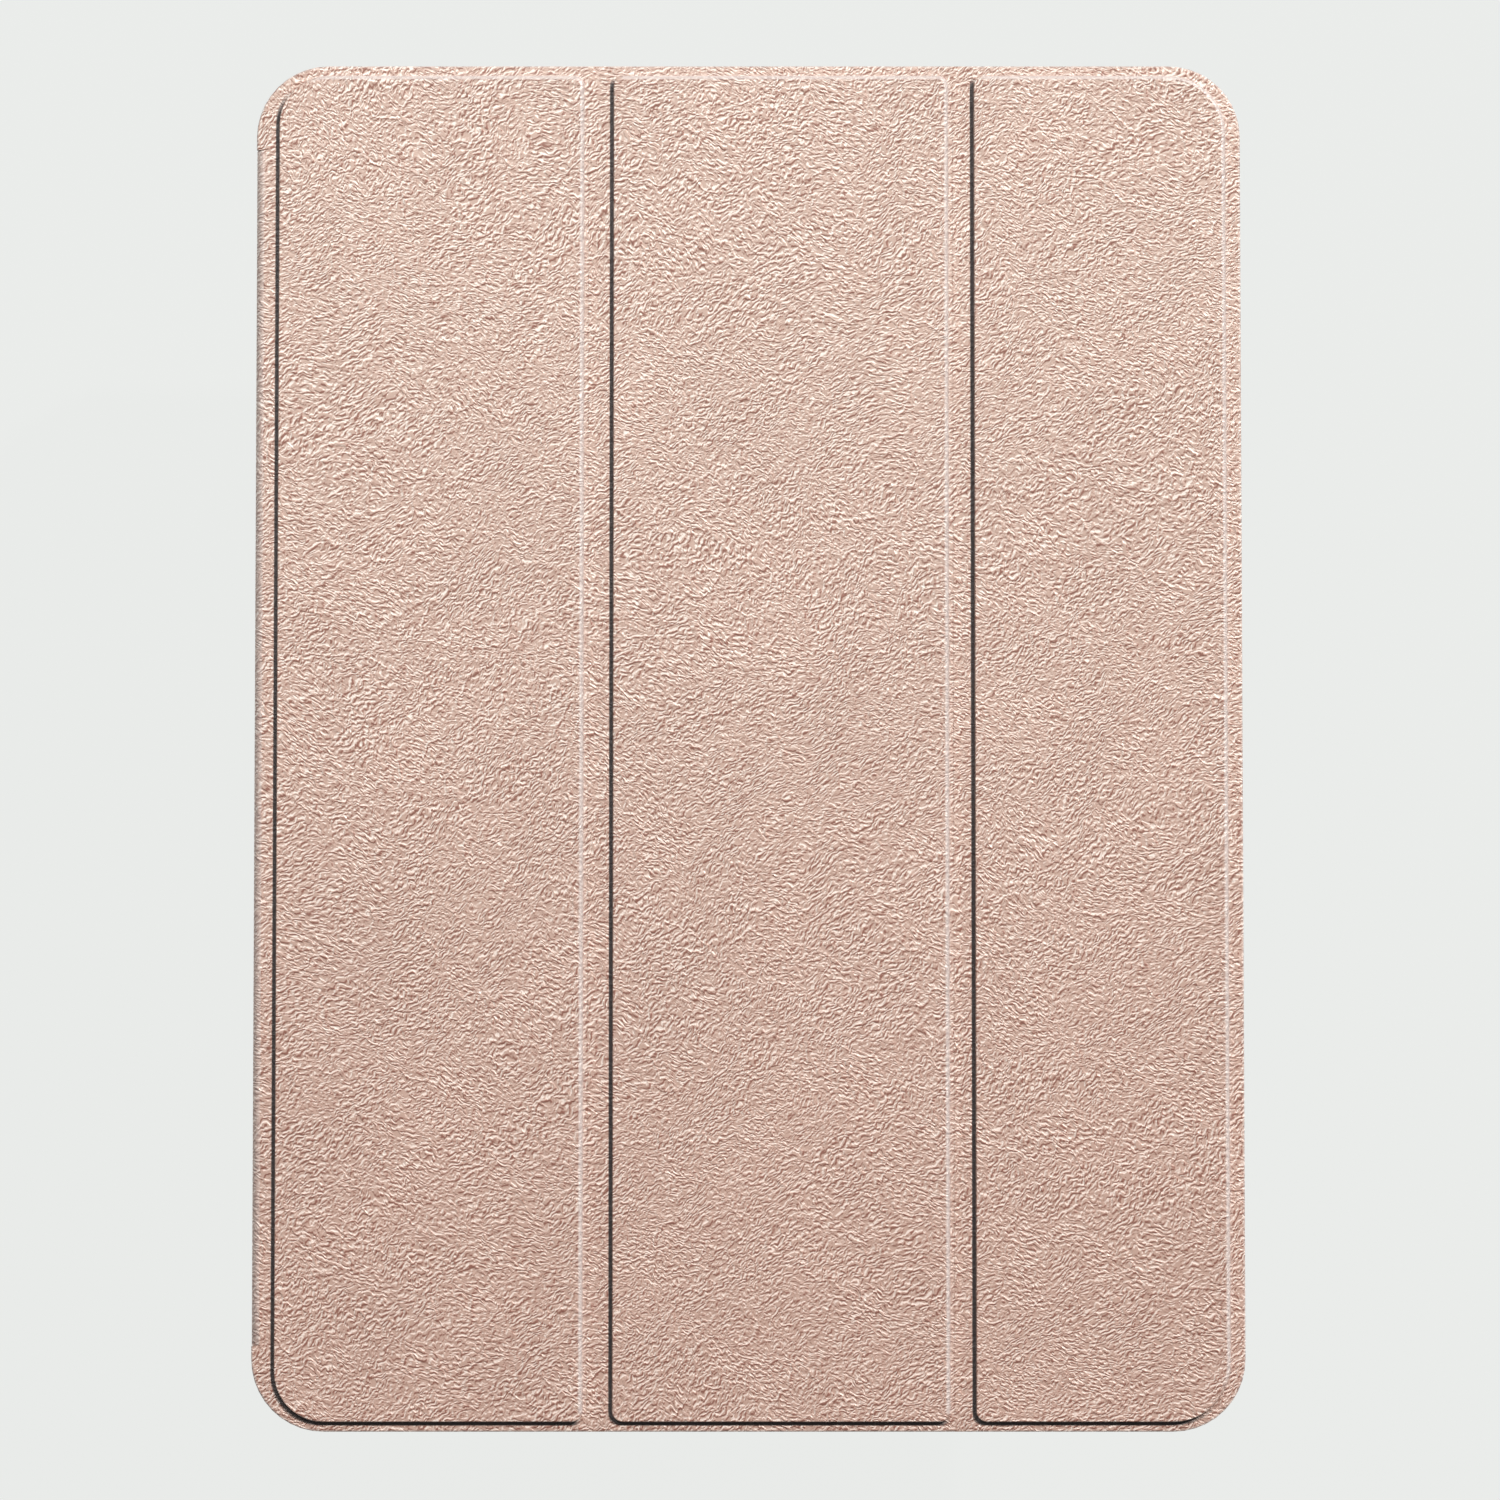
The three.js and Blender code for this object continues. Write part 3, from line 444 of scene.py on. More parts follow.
def panelCover(n):
    look = panelLook
    lowCorner, highCorner = boxOf(f"panel_{n + 1}_leather")
    left, right = lowCorner.x, highCorner.x
    stops = firstFractions if n == 0 else alongFractions
    padLeft = left + (look["outerMargin"][0] if n == 0 else look["foldBorder"][0])
    padRight = right - (look["outerMargin"][2] if n == 2 else look["foldBorder"][1])
    padEnd = coverEnd - look["endMargin"]
    roundLeft = coverCorner - look["outerMargin"][0] if n == 0 else look["innerCorner"]
    roundRight = coverCorner - look["outerMargin"][2] if n == 2 else look["innerCorner"]
    top = coverHigh.z
    rise = top - lowLeather
    points = []
    hide = []
    rub = []
    groove = []

    def padRing(inset, width, height, highlightAndWear=0, paintedShade=0):
        # inset is in millimetres, and width a share of the wall's own width, which depends on its side
        base = outline(padLeft, padRight, -padEnd, padEnd,
                       [roundLeft, roundRight, roundRight, roundLeft], stops, acrossFractions)
        small = outline(padLeft + inset, padRight - inset, -padEnd + inset, padEnd - inset,
                        [max(r - inset, 0.4) for r in (roundLeft, roundRight, roundRight, roundLeft)],
                        stops, acrossFractions)
        for (_, _, facing), (x, y, _) in zip(base, small):
            # lit: how far a side faces the key light; pale paints a highlight on the shoulders that face it
            lit = (facing.x + facing.y) / math.sqrt(2)
            soft = min(max((lit + 0.35) / 0.8, 0), 1)
            soft = soft * soft * (3 - 2 * soft)
            # shade paints shadow at the foot of the walls that face away from the key light
            shade = min(max(-lit / 0.55, 0), 1)
            pale = min(max((lit - 0.25) / 0.4, 0), 1)
            wall = look["steepWall"] + (look["softWall"] - look["steepWall"]) * soft
            x -= facing.x * width * wall
            y -= facing.y * width * wall
            z = lowLeather + rise * height
            if height > 0.99:
                z -= sagAt(x, y) * min(inset / 6, 1)
            points.append((x, y, z))
            hide.append((x, y, z))
            rub.append(highlightAndWear * pale)
            groove.append(paintedShade * shade)

    def edgeRing(inset, z):
        leftRound = max(coverCorner - inset, 0.3) if n == 0 else 0.05
        rightRound = max(coverCorner - inset, 0.3) if n == 2 else 0.05
        flat = max(inset - 0.5, 0) * 0.25  # the straight sides hardly step in
        ring = outline(left + (inset if n == 0 else flat), right - (inset if n == 2 else flat),
                       -coverEnd + inset, coverEnd - inset, [leftRound, rightRound, rightRound, leftRound],
                       stops, acrossFractions)
        for x, y, facing in ring:
            if n == 0 and facing.x < -0.999 and abs(y) < spineHalf:
                x = creaseRight + flat
            points.append((x, y, z))
            hide.append((x, y, z))
            # the rounded outer edge takes the pale band of wear and painted light
            rub.append(edgeWearAndLight if inset < 0.3 and z > coverBase + 0.2 else 0)
            groove.append(0)

    innerWidth = (padRight - padLeft) / 2
    for inset in (innerWidth - 3.5, *look["topInsets"]):
        padRing(inset, 0, 1)
    padRing(0.4, 1, 1)
    padRing(0.1, 1, 1)
    # the painted shadow grows toward the foot of each wall and runs out over the low leather past it
    for width, height, highlightAndWear in look["wall"]:
        padRing(0, width, height, highlightAndWear, max(0.95 - height, 0))
    padRing(-0.03, 0, 0.02, 0.3, 1)
    padRing(-look["paintedShadowWidth"], 0, 0, 0, 1)
    padRing(-look["paintedShadowWidth"] - 0.2, 0, 0, 0, 0)
    for inset, z in edgeTurn + [(0.82, coverBase), (0.86, coverBase + 0.48)]:
        edgeRing(inset, z)
    count = len(outline(0, 1, 0, 1, [0.1] * 4, stops, acrossFractions))
    rings = len(points) // count
    faces = ringFaces(count, rings)
    faces += fillFaces(0, len(stops), len(acrossFractions))
    faces += fillFaces((rings - 1) * count, len(stops), len(acrossFractions))
    layers = {"hide": hide, "rub": rub, "groove": groove}
    piece = meshPiece(f"panel_{n + 1}_cover", points, faces, f"panel_{n + 1}", [leather], 40, layers)
    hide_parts(f"panel_{n + 1}_leather")


for n in range(3):
    panelCover(n)
print("cover panels built")


# fold valleys: a strip of leather and lining between two panels

valleyLook = {"steps": 18, "stations": 40, "dip": 0.06}


def foldValley(n):
    x0 = boxOf(f"panel_{n + 1}_leather")[1].x
    x1 = boxOf(f"panel_{n + 2}_leather")[0].x
    loop = [(coverEnd - inset, z) for inset, z in edgeTurn]
    stations = valleyLook["stations"]
    under = [(coverEnd * (1 - 2 * i / stations), coverBase) for i in range(1, stations)]
    mirrored = [(-y, z) for y, z in reversed(loop)]
    over = [(-coverEnd * (1 - 2 * i / stations), lowLeather) for i in range(1, stations)]
    section = loop + under + mirrored + over
    points = []
    hide = []
    for i in range(valleyLook["steps"] + 1):
        share = i / valleyLook["steps"]
        x = x0 + (x1 - x0) * share
        dip = valleyLook["dip"] * math.sin(math.pi * share) ** 2
        for y, z in section:
            points.append((x, y, z - dip if z > lowLeather - 0.7 else z))
            hide.append((x, y, z))
    count = len(section)
    faces = ringFaces(count, valleyLook["steps"] + 1)
    faces.append(list(range(count)))
    faces.append(list(range(valleyLook["steps"] * count, (valleyLook["steps"] + 1) * count)))
    blank = [0.0] * len(points)
    layers = {"hide": hide, "rub": blank, "groove": blank}
    piece = meshPiece(f"fold_valley_{n + 1}", points, faces, None, [leather, lining], 40, layers)
    for face in piece.data.polygons:
        face.material_index = int(face.center.z < (coverBase + 0.02) * mm)
    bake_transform(piece)
    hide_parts(f"fold_strip_{n + 1}")


for n in range(2):
    foldValley(n)
print("fold valleys built")


# spine: leather round two creases

spineLook = {"creaseRadius": 1.4, "upperSkin": 0.78, "lowerSkin": 0.68, "arcSteps": 14, "stations": 30}
coverLeft = boxOf("spine_leather")[0].x
spineMiddle = (boxOf("spine_leather")[0].z + boxOf("spine_leather")[1].z) / 2


def quarter(middleX, middleZ, start, radius):
    arc = []
    for i in range(spineLook["arcSteps"] + 1):
        angle = math.radians(start + 90 * i / spineLook["arcSteps"])
        arc.append((middleX + radius * math.cos(angle), middleZ + radius * math.sin(angle)))
    return arc


def bentSkin(name, path, skin, uStart):
    # path is the leather's outer line in x and z, and uStart the grain's place at its first point
    count = len(path)
    lengths = [0]
    for k in range(1, count):
        lengths.append(lengths[-1] + math.dist(path[k], path[k - 1]))
    inward = []
    for k in range(count):
        before, after = path[max(k - 1, 0)], path[min(k + 1, count - 1)]
        along = Vector((after[0] - before[0], after[1] - before[1])).normalized()
        inward.append((-along.y, along.x))
    inward[0] = (0, -1) if path[0][1] > path[-1][1] and abs(path[0][0] - path[1][0]) > 0 else inward[0]
    rows = spineLook["stations"]
    places = [spineHalf * (2 * i / rows - 1) for i in range(1, rows)]
    ends = [(spineHalf, 0.2), (spineHalf - 0.08, 0.06), (spineHalf - 0.22, 0)]
    stations = [(-y, cut) for y, cut in ends] + [(y, 0) for y in places] + list(reversed(ends))
    points = []
    hide = []
    for y, cut in stations:
        for (x, z), (nx, nz), length in zip(path, inward, lengths):
            points.append((x + nx * cut, y, z + nz * cut))
            hide.append((uStart - length, y, lowLeather))
        for (x, z), (nx, nz), length in reversed(list(zip(path, inward, lengths))):
            points.append((x + nx * (skin - cut), y, z + nz * (skin - cut)))
            hide.append((uStart - length, y, lowLeather - skin))
    ring = 2 * count
    faces = ringFaces(ring, len(stations))
    for start in (0, (len(stations) - 1) * ring):
        for k in range(count - 1):
            faces.append([start + k, start + k + 1, start + ring - 2 - k, start + ring - 1 - k])
    blank = [0.0] * len(points)
    # the upper crease takes the pale band of wear and painted light that lifts its shade
    rub = [edgeWearAndLight if creaseRight - 1.8 < u < creaseRight - 0.1 else 0 for u, _, _ in hide]
    layers = {"hide": hide, "rub": rub, "groove": blank}
    piece = meshPiece(name, points, faces, None, [leather, lining], 40, layers)
    levels = piece.data.attributes["hide"].data
    for face in piece.data.polygons:
        face.material_index = int(all(levels[k].vector.z < lowLeather - 0.5 for k in face.vertices))
    return piece, uStart - lengths[-1]


def spineCover():
    radius = spineLook["creaseRadius"]
    middleX = coverLeft + radius
    upperZ = lowLeather - radius
    high = [(creaseRight, lowLeather)] + quarter(middleX, upperZ, 90, radius)
    high += [(coverLeft, z) for z in (8, 6.6, spineMiddle)]
    upper, uMiddle = bentSkin("spine_cover_upper", high, spineLook["upperSkin"], creaseRight)
    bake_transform(upper)
    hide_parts("upper_crease", "spine_leather")
    lowerZ = radius + 0.03
    low = [(coverLeft, z) for z in (spineMiddle, 3.8, 2.4)] + quarter(middleX, lowerZ, 180, radius)
    low.append((creaseRight, 0.0))
    lower, uBack = bentSkin("spine_cover_lower", low, spineLook["lowerSkin"], uMiddle)
    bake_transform(lower)
    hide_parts("lower_crease")
    return uBack


uBack = spineCover()
print("spine built")


# linings: thin sheets with a pressed line inside their edges

liningSheet = {"seamInset": 3.0, "seamWidth": 0.35, "seamDepth": 0.12, "sag": 0.05, "border": 0.9}


def panelLining(n):
    look = liningSheet
    lowCorner, highCorner = boxOf(f"panel_{n + 1}_lining")
    left, right, end = lowCorner.x, highCorner.x, highCorner.y
    base, top = lowCorner.z, highCorner.z
    corner = coverCorner - look["border"]
    stops = firstFractions if n == 0 else alongFractions
    points = []
    width = (right - left) / 2
    seam, half = look["seamInset"], look["seamWidth"]
    deepest = look["seamDepth"] / look["sag"]
    # inset, and height as a share of the sag
    levels = [(width - 4, 1), (13, 1), (7, 1), (seam + half, 1), (seam + half / 2, 1 + deepest / 2),
              (seam, 1 + deepest), (seam - half / 2, 1 + deepest / 2), (seam - half, 0.6),
              (1.2, 0.3), (0.35, 0), (0.1, 0.5), (0, 2.4)]
    for inset, share in levels + [(0, None)]:
        first = max(corner - inset, 2.5) if n == 0 else 0.05
        last = max(corner - inset, 2.5) if n == 2 else 0.05
        deep = n == 0 and inset > 2  # past the notch for the spine
        ring = outline((creaseRight if deep else left) + inset, right - inset, -end + inset, end - inset,
                       [first, last, last, first], stops, acrossFractions)
        for x, y, facing in ring:
            if n == 0 and not deep and facing.x < -0.999 and abs(y) < spineHalf + 0.2:
                x = max(x, creaseRight + inset)
            z = top if share is None else base + look["sag"] * share
            points.append((x, y, z))
    count = len(ring)
    rings = len(points) // count
    faces = ringFaces(count, rings)
    faces += fillFaces(0, len(stops), len(acrossFractions))
    faces += fillFaces((rings - 1) * count, len(stops), len(acrossFractions))
    piece = meshPiece(f"panel_{n + 1}_lining_sheet", points, faces, f"panel_{n + 1}", [lining], 50,
                      {"hide": points})
    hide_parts(f"panel_{n + 1}_lining")


def spineLining():
    lowCorner, highCorner = boxOf("spine_lining")
    rows = evenStops(24)
    points = []
    inner, outer = highCorner.x, lowCorner.x
    middle = (lowCorner.z + highCorner.z) / 2
    height = (highCorner.z - lowCorner.z) / 2
    for inset, x in ((2.4, inner - 0.03), (0.9, inner - 0.03), (0.75, inner - 0.09), (0.6, inner - 0.03),
                     (0.25, inner), (0.08, inner - 0.03), (0, inner - 0.1), (0, outer)):
        ring = outline(-spineHalf + inset, spineHalf - inset,
                       middle - height + inset, middle + height - inset,
                       [0.3] * 4, evenStops(4), rows, 4)
        points += [(x, y, z) for y, z, _ in ring]
    count = len(ring)
    rings = len(points) // count
    faces = ringFaces(count, rings)
    faces += fillFaces(0, 3, len(rows), 4)
    faces += fillFaces((rings - 1) * count, 3, len(rows), 4)
    piece = meshPiece("spine_lining_sheet", points, faces, "spine", [lining], 50,
                      {"hide": [(z, y, x) for x, y, z in points]})
    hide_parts("spine_lining")


for n in range(3):
    panelLining(n)
spineLining()
print("linings built")


# back leather: one skin over the tray's floor, open round the rear camera

backLook = {"edgeRound": 0.4, "corner": 12.3, "windowCorner": 8.8, "window": (9.8, 13.05)}


def backCover():
    look = backLook
    highCorner = boxOf("back_leather")[1]
    right, end, top = highCorner.x, highCorner.y, highCorner.z
    left = boxOf("rear_housing")[0].x + boxOf("rear_housing")[1].x - right
    lens = middleOf("rear_camera_ring")
    middleY = (lens.y + middleOf("flash_lens").y) / 2
    stops = notchedStops(evenStops(40), end - look["corner"])
    across = evenStops(24)

    def edge(inset, z):
        ring = outline(left + inset, right - inset, -end + inset, end - inset,
                       [look["corner"] - inset] * 4, stops, across)
        row = []
        for x, y, facing in ring:
            if facing.x < -0.999 and abs(y) < spineHalf:
                x = creaseRight
            row.append((x, y, z))
        return row

    def window(grow, z):
        halfX, halfY = look["window"]
        ring = outline(lens.x - halfX - grow, lens.x + halfX + grow,
                       middleY - halfY - grow, middleY + halfY + grow,
                       [look["windowCorner"] + grow] * 4, evenStops(4), evenStops(2), 8)
        return [(x, y, z) for x, y, _ in ring]

    turn = look["edgeRound"]
    levels = ((turn, 0), (turn * 0.5, 0.03), (turn * 0.15, 0.12), (0, 0.3), (0, top))
    mesh = bmesh.new()
    loops = []
    for maker in (edge, window):
        rows = [[mesh.verts.new(p) for p in maker(inset, z)] for inset, z in levels]
        for lower, upper in zip(rows, rows[1:]):
            for i in range(len(lower)):
                j = (i + 1) % len(lower)
                mesh.faces.new((lower[i], lower[j], upper[j], upper[i]))
        loops.append(rows)
    for level in (0, -1):
        edges = []
        for rows in loops:
            row = rows[level]
            for i in range(len(row)):
                edges.append(mesh.edges.get((row[i], row[(i + 1) % len(row)])))
        bmesh.ops.triangle_fill(mesh, use_beauty=True, use_dissolve=False, edges=edges)
    mesh.verts.index_update()
    points = [tuple(v.co) for v in mesh.verts]
    faces = [[v.index for v in f.verts] for f in mesh.faces]
    mesh.free()
    hide = [(uBack - (x - creaseRight), y, lowLeather - z) for x, y, z in points]
    blank = [0.0] * len(points)
    piece = meshPiece("back_cover", points, faces, "case", [leather], 40,
                      {"hide": hide, "rub": blank, "groove": blank})
    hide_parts("back_leather")


backCover()
print("back built")


# finishes for the pieces that keep their CAD shape. grain is size and depth in millimetres.

def objectPlace(graph):
    # the surface's own place in millimetres
    place = graph.node("ShaderNodeTexCoord", None, None, 3)
    return graph.node("ShaderNodeVectorMath", {"operation": "SCALE"}, {0: place, "Scale": 1 / mm})


plainLooks = {
    "tray": {"color": (0.60, 0.43, 0.355), "shade": 0.12,
             "metallic": 0.1, "rough": 0.52, "grain": (0.28, 0.03)},
    "aluminium": {"color": (0.47, 0.475, 0.485), "shade": 0.1,
                  "metallic": 1, "rough": 0.36, "grain": (0.09, 0.008)},
    "stiffener": {"color": (0.52, 0.49, 0.44), "shade": 0.3,
                  "metallic": 0, "rough": 0.8, "grain": (0.5, 0.05)},
    "display": {"color": (0.02, 0.02, 0.024), "shade": 0.3,
                "metallic": 0, "rough": 0.25, "grain": (0.4, 0.004)},
    "cell": {"color": (0.06, 0.06, 0.066), "shade": 0.5,
             "metallic": 0.6, "rough": 0.4, "grain": (3.2, 0.09)},
    "board": {"color": (0.02, 0.075, 0.045), "shade": 0.6,
              "metallic": 0, "rough": 0.45, "grain": (0.8, 0.03)},
    "steel": {"color": (0.56, 0.56, 0.57), "shade": 0.2,
              "metallic": 1, "rough": 0.3, "grain": (0.2, 0.01)},
    "magnet": {"color": (0.50, 0.50, 0.52), "shade": 0.2,
               "metallic": 1, "rough": 0.26, "grain": (0.3, 0.008)},
    "black_plastic": {"color": (0.018, 0.018, 0.02), "shade": 0.3,
                      "metallic": 0, "rough": 0.5, "grain": (0.2, 0.02)},
    "film": {"color": (0.36, 0.17, 0.04), "shade": 0.35,
             "metallic": 0, "rough": 0.35, "grain": (0.7, 0.01)},
    "foam": {"color": (0.03, 0.03, 0.03), "shade": 0.5,
             "metallic": 0, "rough": 0.95, "grain": (0.25, 0.06)},
}


def plainMaterial(name, look):
    graph = Graph(name + "_finish")
    place = objectPlace(graph)
    size, depth = look["grain"]
    fine = noiseOf(graph, place, size, 2, 0.6)
    broad = noiseOf(graph, place, 14, 3, 0.6)
    dark = tuple(c * (1 - look["shade"]) for c in look["color"])
    light = tuple(min(c * (1 + look["shade"]), 1) for c in look["color"])
    paint = mixColor(graph, broad * 0.6 + fine * 0.4, dark, light)
    rough = look["rough"] + (broad - 0.5) * 0.22 + (fine - 0.5) * 0.1
    sockets = {"Base Color": paint, "Roughness": rough, "Metallic": look["metallic"],
               "Normal": bumped(graph, fine, depth)}
    return graph.finish(graph.node("ShaderNodeBsdfPrincipled", None, sockets))


# cover glass: black border round the dark picture area, with a small camera eye in the border

glassLook = {
    "border": (0.006, 0.006, 0.007),
    "picture": (0.016, 0.017, 0.021),
    "eye": (0.03, 0.035, 0.07),
    "eyeRadius": 1.5,
    "smudge": 0.035,
}


def glassMaterial():
    look = glassLook
    graph = Graph("cover_glass_finish")
    place = objectPlace(graph)
    highCorner = boxOf("display_panel")[1]
    middle = middleOf("display_panel")
    half = highCorner - middle
    x = abs(place.part(0) - middle.x)
    y = abs(place.part(1) - middle.y)
    inside = x.step(half.x + 0.1, half.x - 0.1) * y.step(half.y + 0.1, half.y - 0.1)
    paint = mixColor(graph, inside, look["border"], look["picture"])
    eye = middleOf("front_camera")
    away = graph.node("ShaderNodeVectorMath", {"operation": "DISTANCE"},
                      {0: place, 1: (eye.x, eye.y, highCorner.z)}, 1)
    rings = away.step(look["eyeRadius"], look["eyeRadius"] - 0.3) - away.step(0.75, 0.5) * 0.8
    paint = mixColor(graph, rings, paint, look["eye"])
    smudge = noiseOf(graph, wander(graph, place, 30, 9), 22, 4, 0.62).step(0.45, 0.8)
    dust = noiseOf(graph, place, 0.3, 1).step(0.72, 0.8)
    rough = 0.045 + smudge * look["smudge"] + dust * 0.1
    sockets = {"Base Color": paint, "Roughness": rough, "IOR": 1.5, "Coat Weight": 0.3,
               "Coat Roughness": 0.03, "Normal": bumped(graph, noiseOf(graph, place, 60, 1), 0.02)}
    return graph.finish(graph.node("ShaderNodeBsdfPrincipled", None, sockets))


# the flash's lens: pale yellow with fine rings pressed in it

def flashMaterial(middle, face):
    graph = Graph("flash_finish")
    place = objectPlace(graph)
    away = graph.node("ShaderNodeVectorMath", {"operation": "DISTANCE"},
                      {0: place, 1: (middle.x, middle.y, face)}, 1)
    ring = graph.node("ShaderNodeMath", {"operation": "SINE"}, {0: away * 21})
    glow = away.step(1.1, 0.3)
    paint = mixColor(graph, glow + ring * 0.08, (0.72, 0.68, 0.52), (0.86, 0.72, 0.2))
    sockets = {"Base Color": paint, "Roughness": 0.18 + 0.06 * ring, "IOR": 1.5,
               "Normal": bumped(graph, ring, 0.03)}
    return graph.finish(graph.node("ShaderNodeBsdfPrincipled", None, sockets))


# rear camera: a black bezel, a coated glass that dips over the barrel, and the barrel's rings

cameraLook = {
    # radius, and depth below the bezel's face
    "profile": [(0.35, 0.62), (0.9, 0.60), (1.25, 0.50), (1.4, 0.34), (2.0, 0.30), (2.12, 0.18),
                (3.0, 0.14), (3.2, 0.03), (3.5, 0), (4.1, 0), (4.4, 0.06), (4.55, 0.2)],
    "bezel": (0.012, 0.012, 0.014),
    "glass": (0.008, 0.009, 0.014),
    "coating": (0.10, 0.03, 0.16),
    "barrel": (0.05, 0.052, 0.056),
    "turns": 64,
}


def lensMaterial(middle):
    look = cameraLook
    graph = Graph("coated_lens_finish")
    place = objectPlace(graph)
    x = place.part(0) - middle.x
    y = place.part(1) - middle.y
    away = graph.node("ShaderNodeMath", {"operation": "SQRT"}, {0: x * x + y * y})
    ring = graph.node("ShaderNodeMath", {"operation": "SINE"}, {0: away * 26})
    barrel = away.step(1.35, 1.5) * away.step(3.05, 2.9)
    paint = mixColor(graph, away.step(1.5, 0.5), look["glass"], look["coating"])
    paint = mixColor(graph, barrel * (0.7 + ring * 0.3), paint, look["barrel"])
    bezel = away.step(3.05, 3.2)
    paint = mixColor(graph, bezel, paint, look["bezel"])
    dust = noiseOf(graph, place, 0.12, 2)
    rough = 0.05 + bezel * 0.25 + barrel * 0.2 + dust * 0.05
    sockets = {"Base Color": paint, "Roughness": rough, "IOR": 1.6, "Coat Weight": 0.6,
               "Coat Roughness": 0.04, "Normal": bumped(graph, ring * barrel, 0.02)}
    return graph.finish(graph.node("ShaderNodeBsdfPrincipled", None, sockets))


def lathe(profile, turns, middle):
    # rings of points round an upright axis, from profile's radii and heights
    points = []
    for radius, z in profile:
        for i in range(turns):
            angle = 2 * math.pi * i / turns
            points.append((middle.x + radius * math.cos(angle), middle.y + radius * math.sin(angle), z))
    faces = ringFaces(turns, len(profile))
    faces.append(list(range(turns)))
    faces.append(list(range((len(profile) - 1) * turns, len(profile) * turns)))
    return points, faces


def cameraLens():
    lowCorner, highCorner = boxOf("rear_camera_lens")
    middle = middleOf("rear_camera_lens")
    face = lowCorner.z
    profile = [(radius, face + dip) for radius, dip in cameraLook["profile"]]
    profile += [(4.6, face + 0.35), (4.6, highCorner.z), (0.5, highCorner.z)]
    points, faces = lathe(profile, cameraLook["turns"], middle)
    piece = meshPiece("rear_camera_lens_stack", points, faces, "case", [lensMaterial(middle)], 35)
    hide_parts("rear_camera_lens")


contactLook = {"count": 12, "width": 0.24, "length": 3.4, "height": 0.04, "gold": (0.83, 0.58, 0.22)}


def goldMaterial():
    graph = Graph("gold_plating_finish")
    place = objectPlace(graph)
    fine = noiseOf(graph, place, 0.15, 2)
    paint = mixColor(graph, fine, tuple(c * 0.85 for c in contactLook["gold"]), contactLook["gold"])
    sockets = {"Base Color": paint, "Metallic": 1, "Roughness": 0.22 + 0.15 * fine,
               "Normal": bumped(graph, fine, 0.005)}
    return graph.finish(graph.node("ShaderNodeBsdfPrincipled", None, sockets))


def socketContacts():
    # thin gold strips on both faces of the socket's tongue
    look = contactLook
    lowCorner, highCorner = boxOf("usb_c_tongue")
    pitch = (highCorner.x - lowCorner.x - 0.7) / look["count"]
    points = []
    faces = []
    for side in (-1, 1):
        z = highCorner.z if side > 0 else lowCorner.z
        for i in range(look["count"]):
            x = lowCorner.x + 0.35 + pitch * (i + 0.5)
            y = lowCorner.y + 0.25
            half = look["width"] / 2
            tip = half * 0.5
            shape = [(x - tip, y), (x + tip, y), (x + half, y + 0.15), (x + half, y + look["length"]),
                     (x - half, y + look["length"]), (x - half, y + 0.15)]
            start = len(points)
            points += [(px, py, z - side * 0.02) for px, py in shape]
            points += [(x + (px - x) * 0.8, py + (0.03 if py < y + 1 else -0.03), z + side * look["height"])
                       for px, py in shape]
            count = len(shape)
            faces.append([start + k for k in range(count)])
            faces.append([start + count + k for k in range(count)])
            for k in range(count):
                j = (k + 1) % count
                faces.append([start + k, start + j, start + count + j, start + count + k])
    piece = meshPiece("usb_c_contacts", points, faces, "case", [goldMaterial()], 30)


def flashLens():
    # low pressed rings in a round window
    face = boxOf("flash_lens")[0].z
    middle = middleOf("flash_lens")
    profile = [(0.15, 0.06)]
    for k in range(7):
        radius = 0.3 + 0.2 * k
        profile += [(radius, 0.05), (radius + 0.15, 0.1)]
    profile += [(1.75, 0), (1.85, 0.02), (1.9, 0.1), (1.9, 0.5), (0.3, 0.5)]
    points, faces = lathe([(radius, face + dip) for radius, dip in profile], 48, middle)
    piece = meshPiece("flash_lens_window", points, faces, "case", [flashMaterial(middle, face)], 35)
    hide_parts("flash_lens")


cameraLens()
flashLens()
socketContacts()
print("camera lens and contacts built")
finishes = {slot: plainMaterial(slot, look) for slot, look in plainLooks.items()}
finishes["screen_glass"] = glassMaterial()
softEdges = {"back_shell": 0.25, "rear_housing": 0.12, "cover_glass": 0.08, "rear_camera_ring": 0.12,
             "power_button": 0.25, "volume_up_button": 0.25, "volume_down_button": 0.25, "usb_c_socket": 0.06}


def finishNodes():
    slotOf = {part["node"]: part["material_slot"] for part in frame["record"]["subparts"]}
    for name, node in frame["nodes"].items():
        finish = finishes.get(slotOf.get(name))
        if finish is None:
            continue
        node.data.materials.clear()
        node.data.materials.append(finish)
        for face in node.data.polygons:
            face.material_index = 0
        weld = node.modifiers.new("weld", "WELD")
        weld.merge_threshold = 0.000002
        if name in softEdges:
            node.data.polygons.foreach_set("use_smooth", [True] * len(node.data.polygons))
            bevel = node.modifiers.new("bevel", "BEVEL")
            bevel.width = softEdges[name] * mm
            bevel.segments = 2
            bevel.limit_method = "ANGLE"
            bevel.angle_limit = math.radians(40)
            normals = node.modifiers.new("normals", "WEIGHTED_NORMAL")
            normals.weight = 100


finishNodes()
print("finishes given")


# camera, floor and lights

viewLook = {"elevation": 87, "distance": 1.0, "lens": 130, "aim": (0.0003, -0.0010, 0.0100)}


def addCamera():
    data = bpy.data.cameras.new("camera")
    data.lens = viewLook["lens"]
    data.sensor_width = 36
    camera = bpy.data.objects.new("camera", data)
    bpy.context.scene.collection.objects.link(camera)
    aim = Vector(viewLook["aim"])
    up = math.radians(viewLook["elevation"])
    back = Vector((0, -math.cos(up), math.sin(up)))
    camera.location = aim + back * viewLook["distance"]
    camera.rotation_mode = "QUATERNION"
    camera.rotation_quaternion = (-back).to_track_quat("-Z", "Y")
    bpy.context.scene.camera = camera


addCamera()

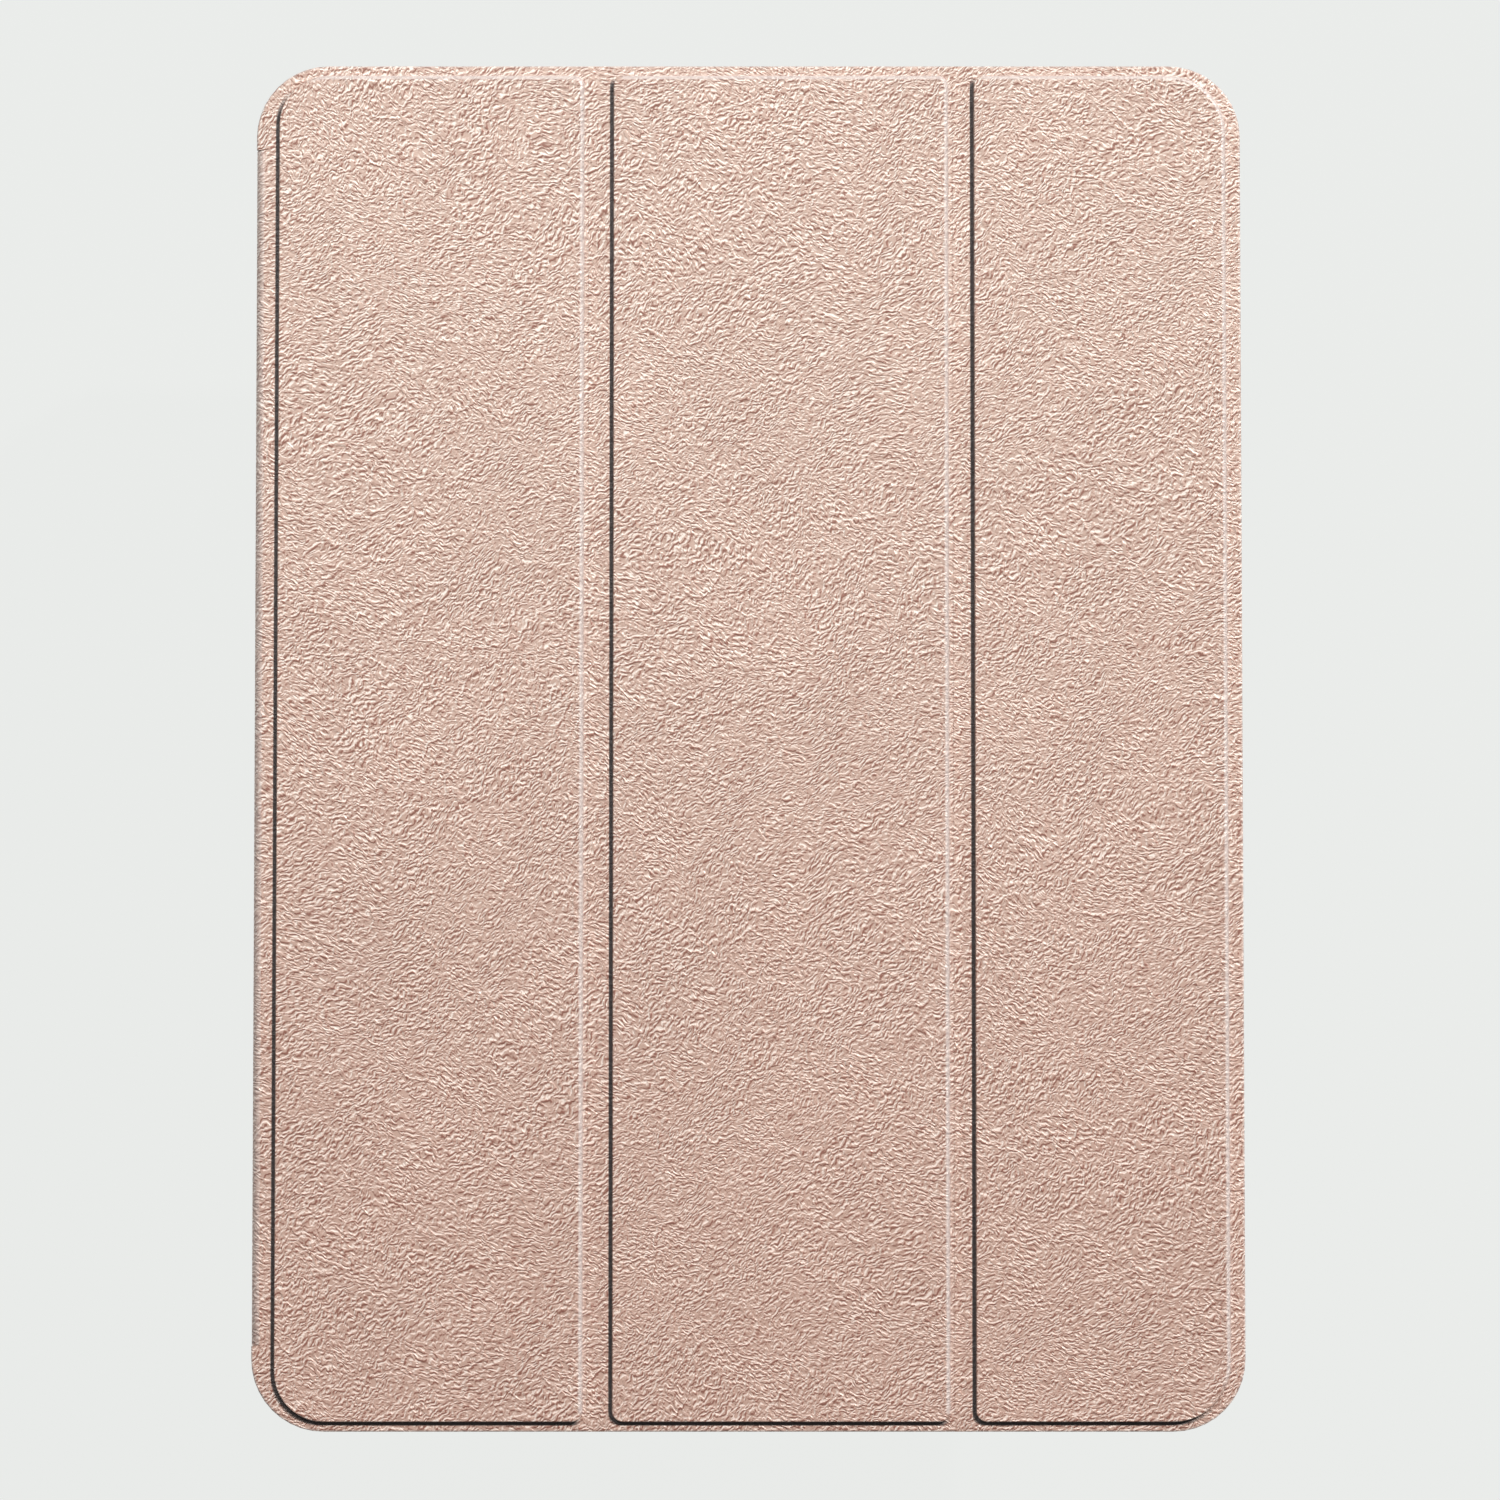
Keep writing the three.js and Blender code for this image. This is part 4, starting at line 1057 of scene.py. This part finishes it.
studioLook = {
    "floorColor": (0.823, 0.839, 0.823),
    "floorGlow": 0.985,
    "floorDiffuse": 0.015,
    "floorSize": 12,
    "floorDrop": 0.07,  # deep enough for the cover to swing under the back
    "key": {"elevation": 44, "azimuth": 45, "distance": 6, "size": 0.24, "power": 376,
            "color": (1, 0.985, 0.97)},
    "top": {"elevation": 55, "azimuth": 114, "distance": 1.0, "size": 0.6, "power": 3.4,
            "color": (0.97, 0.97, 0.98)},
    "around": 0.11,
}


def addStage(name, points, faces, material):
    mesh = bpy.data.meshes.new(name)
    mesh.from_pydata(points, [], faces)
    mesh.materials.append(material)
    piece = bpy.data.objects.new(name, mesh)
    piece.location.z = -studioLook["floorDrop"]
    bpy.context.scene.collection.objects.link(piece)
    return piece


def addFloor():
    # a round floor, and a wall of the same paper far round it, which lights nothing
    size = studioLook["floorSize"]
    graph = Graph("pale_floor")
    color = studioLook["floorColor"]
    share = studioLook["floorDiffuse"]
    sockets = {"Base Color": (*[c * share for c in color], 1), "Roughness": 1, "Specular IOR Level": 0,
               "Emission Color": (*color, 1), "Emission Strength": studioLook["floorGlow"]}
    paper = graph.finish(graph.node("ShaderNodeBsdfPrincipled", None, sockets))
    sides = 64
    turns = [2 * math.pi * i / sides for i in range(sides)]
    low = [(size * math.cos(a), size * math.sin(a), 0) for a in turns]
    high = [(x, y, size) for x, y, _ in low]
    addStage("floor", low, [list(range(sides))], paper)
    wall = addStage("backdrop", low + high, ringFaces(sides, 2), paper)
    wall.visible_diffuse = False
    wall.visible_glossy = False
    wall.visible_shadow = False


def addLight(name, look):
    data = bpy.data.lights.new(name, "AREA")
    data.shape = "DISK"
    data.size = look["size"]
    data.energy = look["power"]
    data.color = look["color"]
    light = bpy.data.objects.new(name, data)
    bpy.context.scene.collection.objects.link(light)
    up = math.radians(look["elevation"])
    along = math.radians(look["azimuth"])
    way = Vector((math.cos(up) * math.cos(along), math.cos(up) * math.sin(along), math.sin(up)))
    light.location = way * look["distance"]
    light.rotation_mode = "QUATERNION"
    light.rotation_quaternion = (-way).to_track_quat("-Z", "Y")


addFloor()
addLight("key_light", studioLook["key"])
addLight("top_light", studioLook["top"])
world = bpy.data.worlds.new("studio")
world.use_nodes = True
background = world.node_tree.nodes["Background"]
background.inputs["Color"].default_value = (0.95, 0.97, 1, 1)
background.inputs["Strength"].default_value = studioLook["around"]
bpy.context.scene.world = world
bpy.context.scene.view_settings.view_transform = "Standard"
print("studio set")
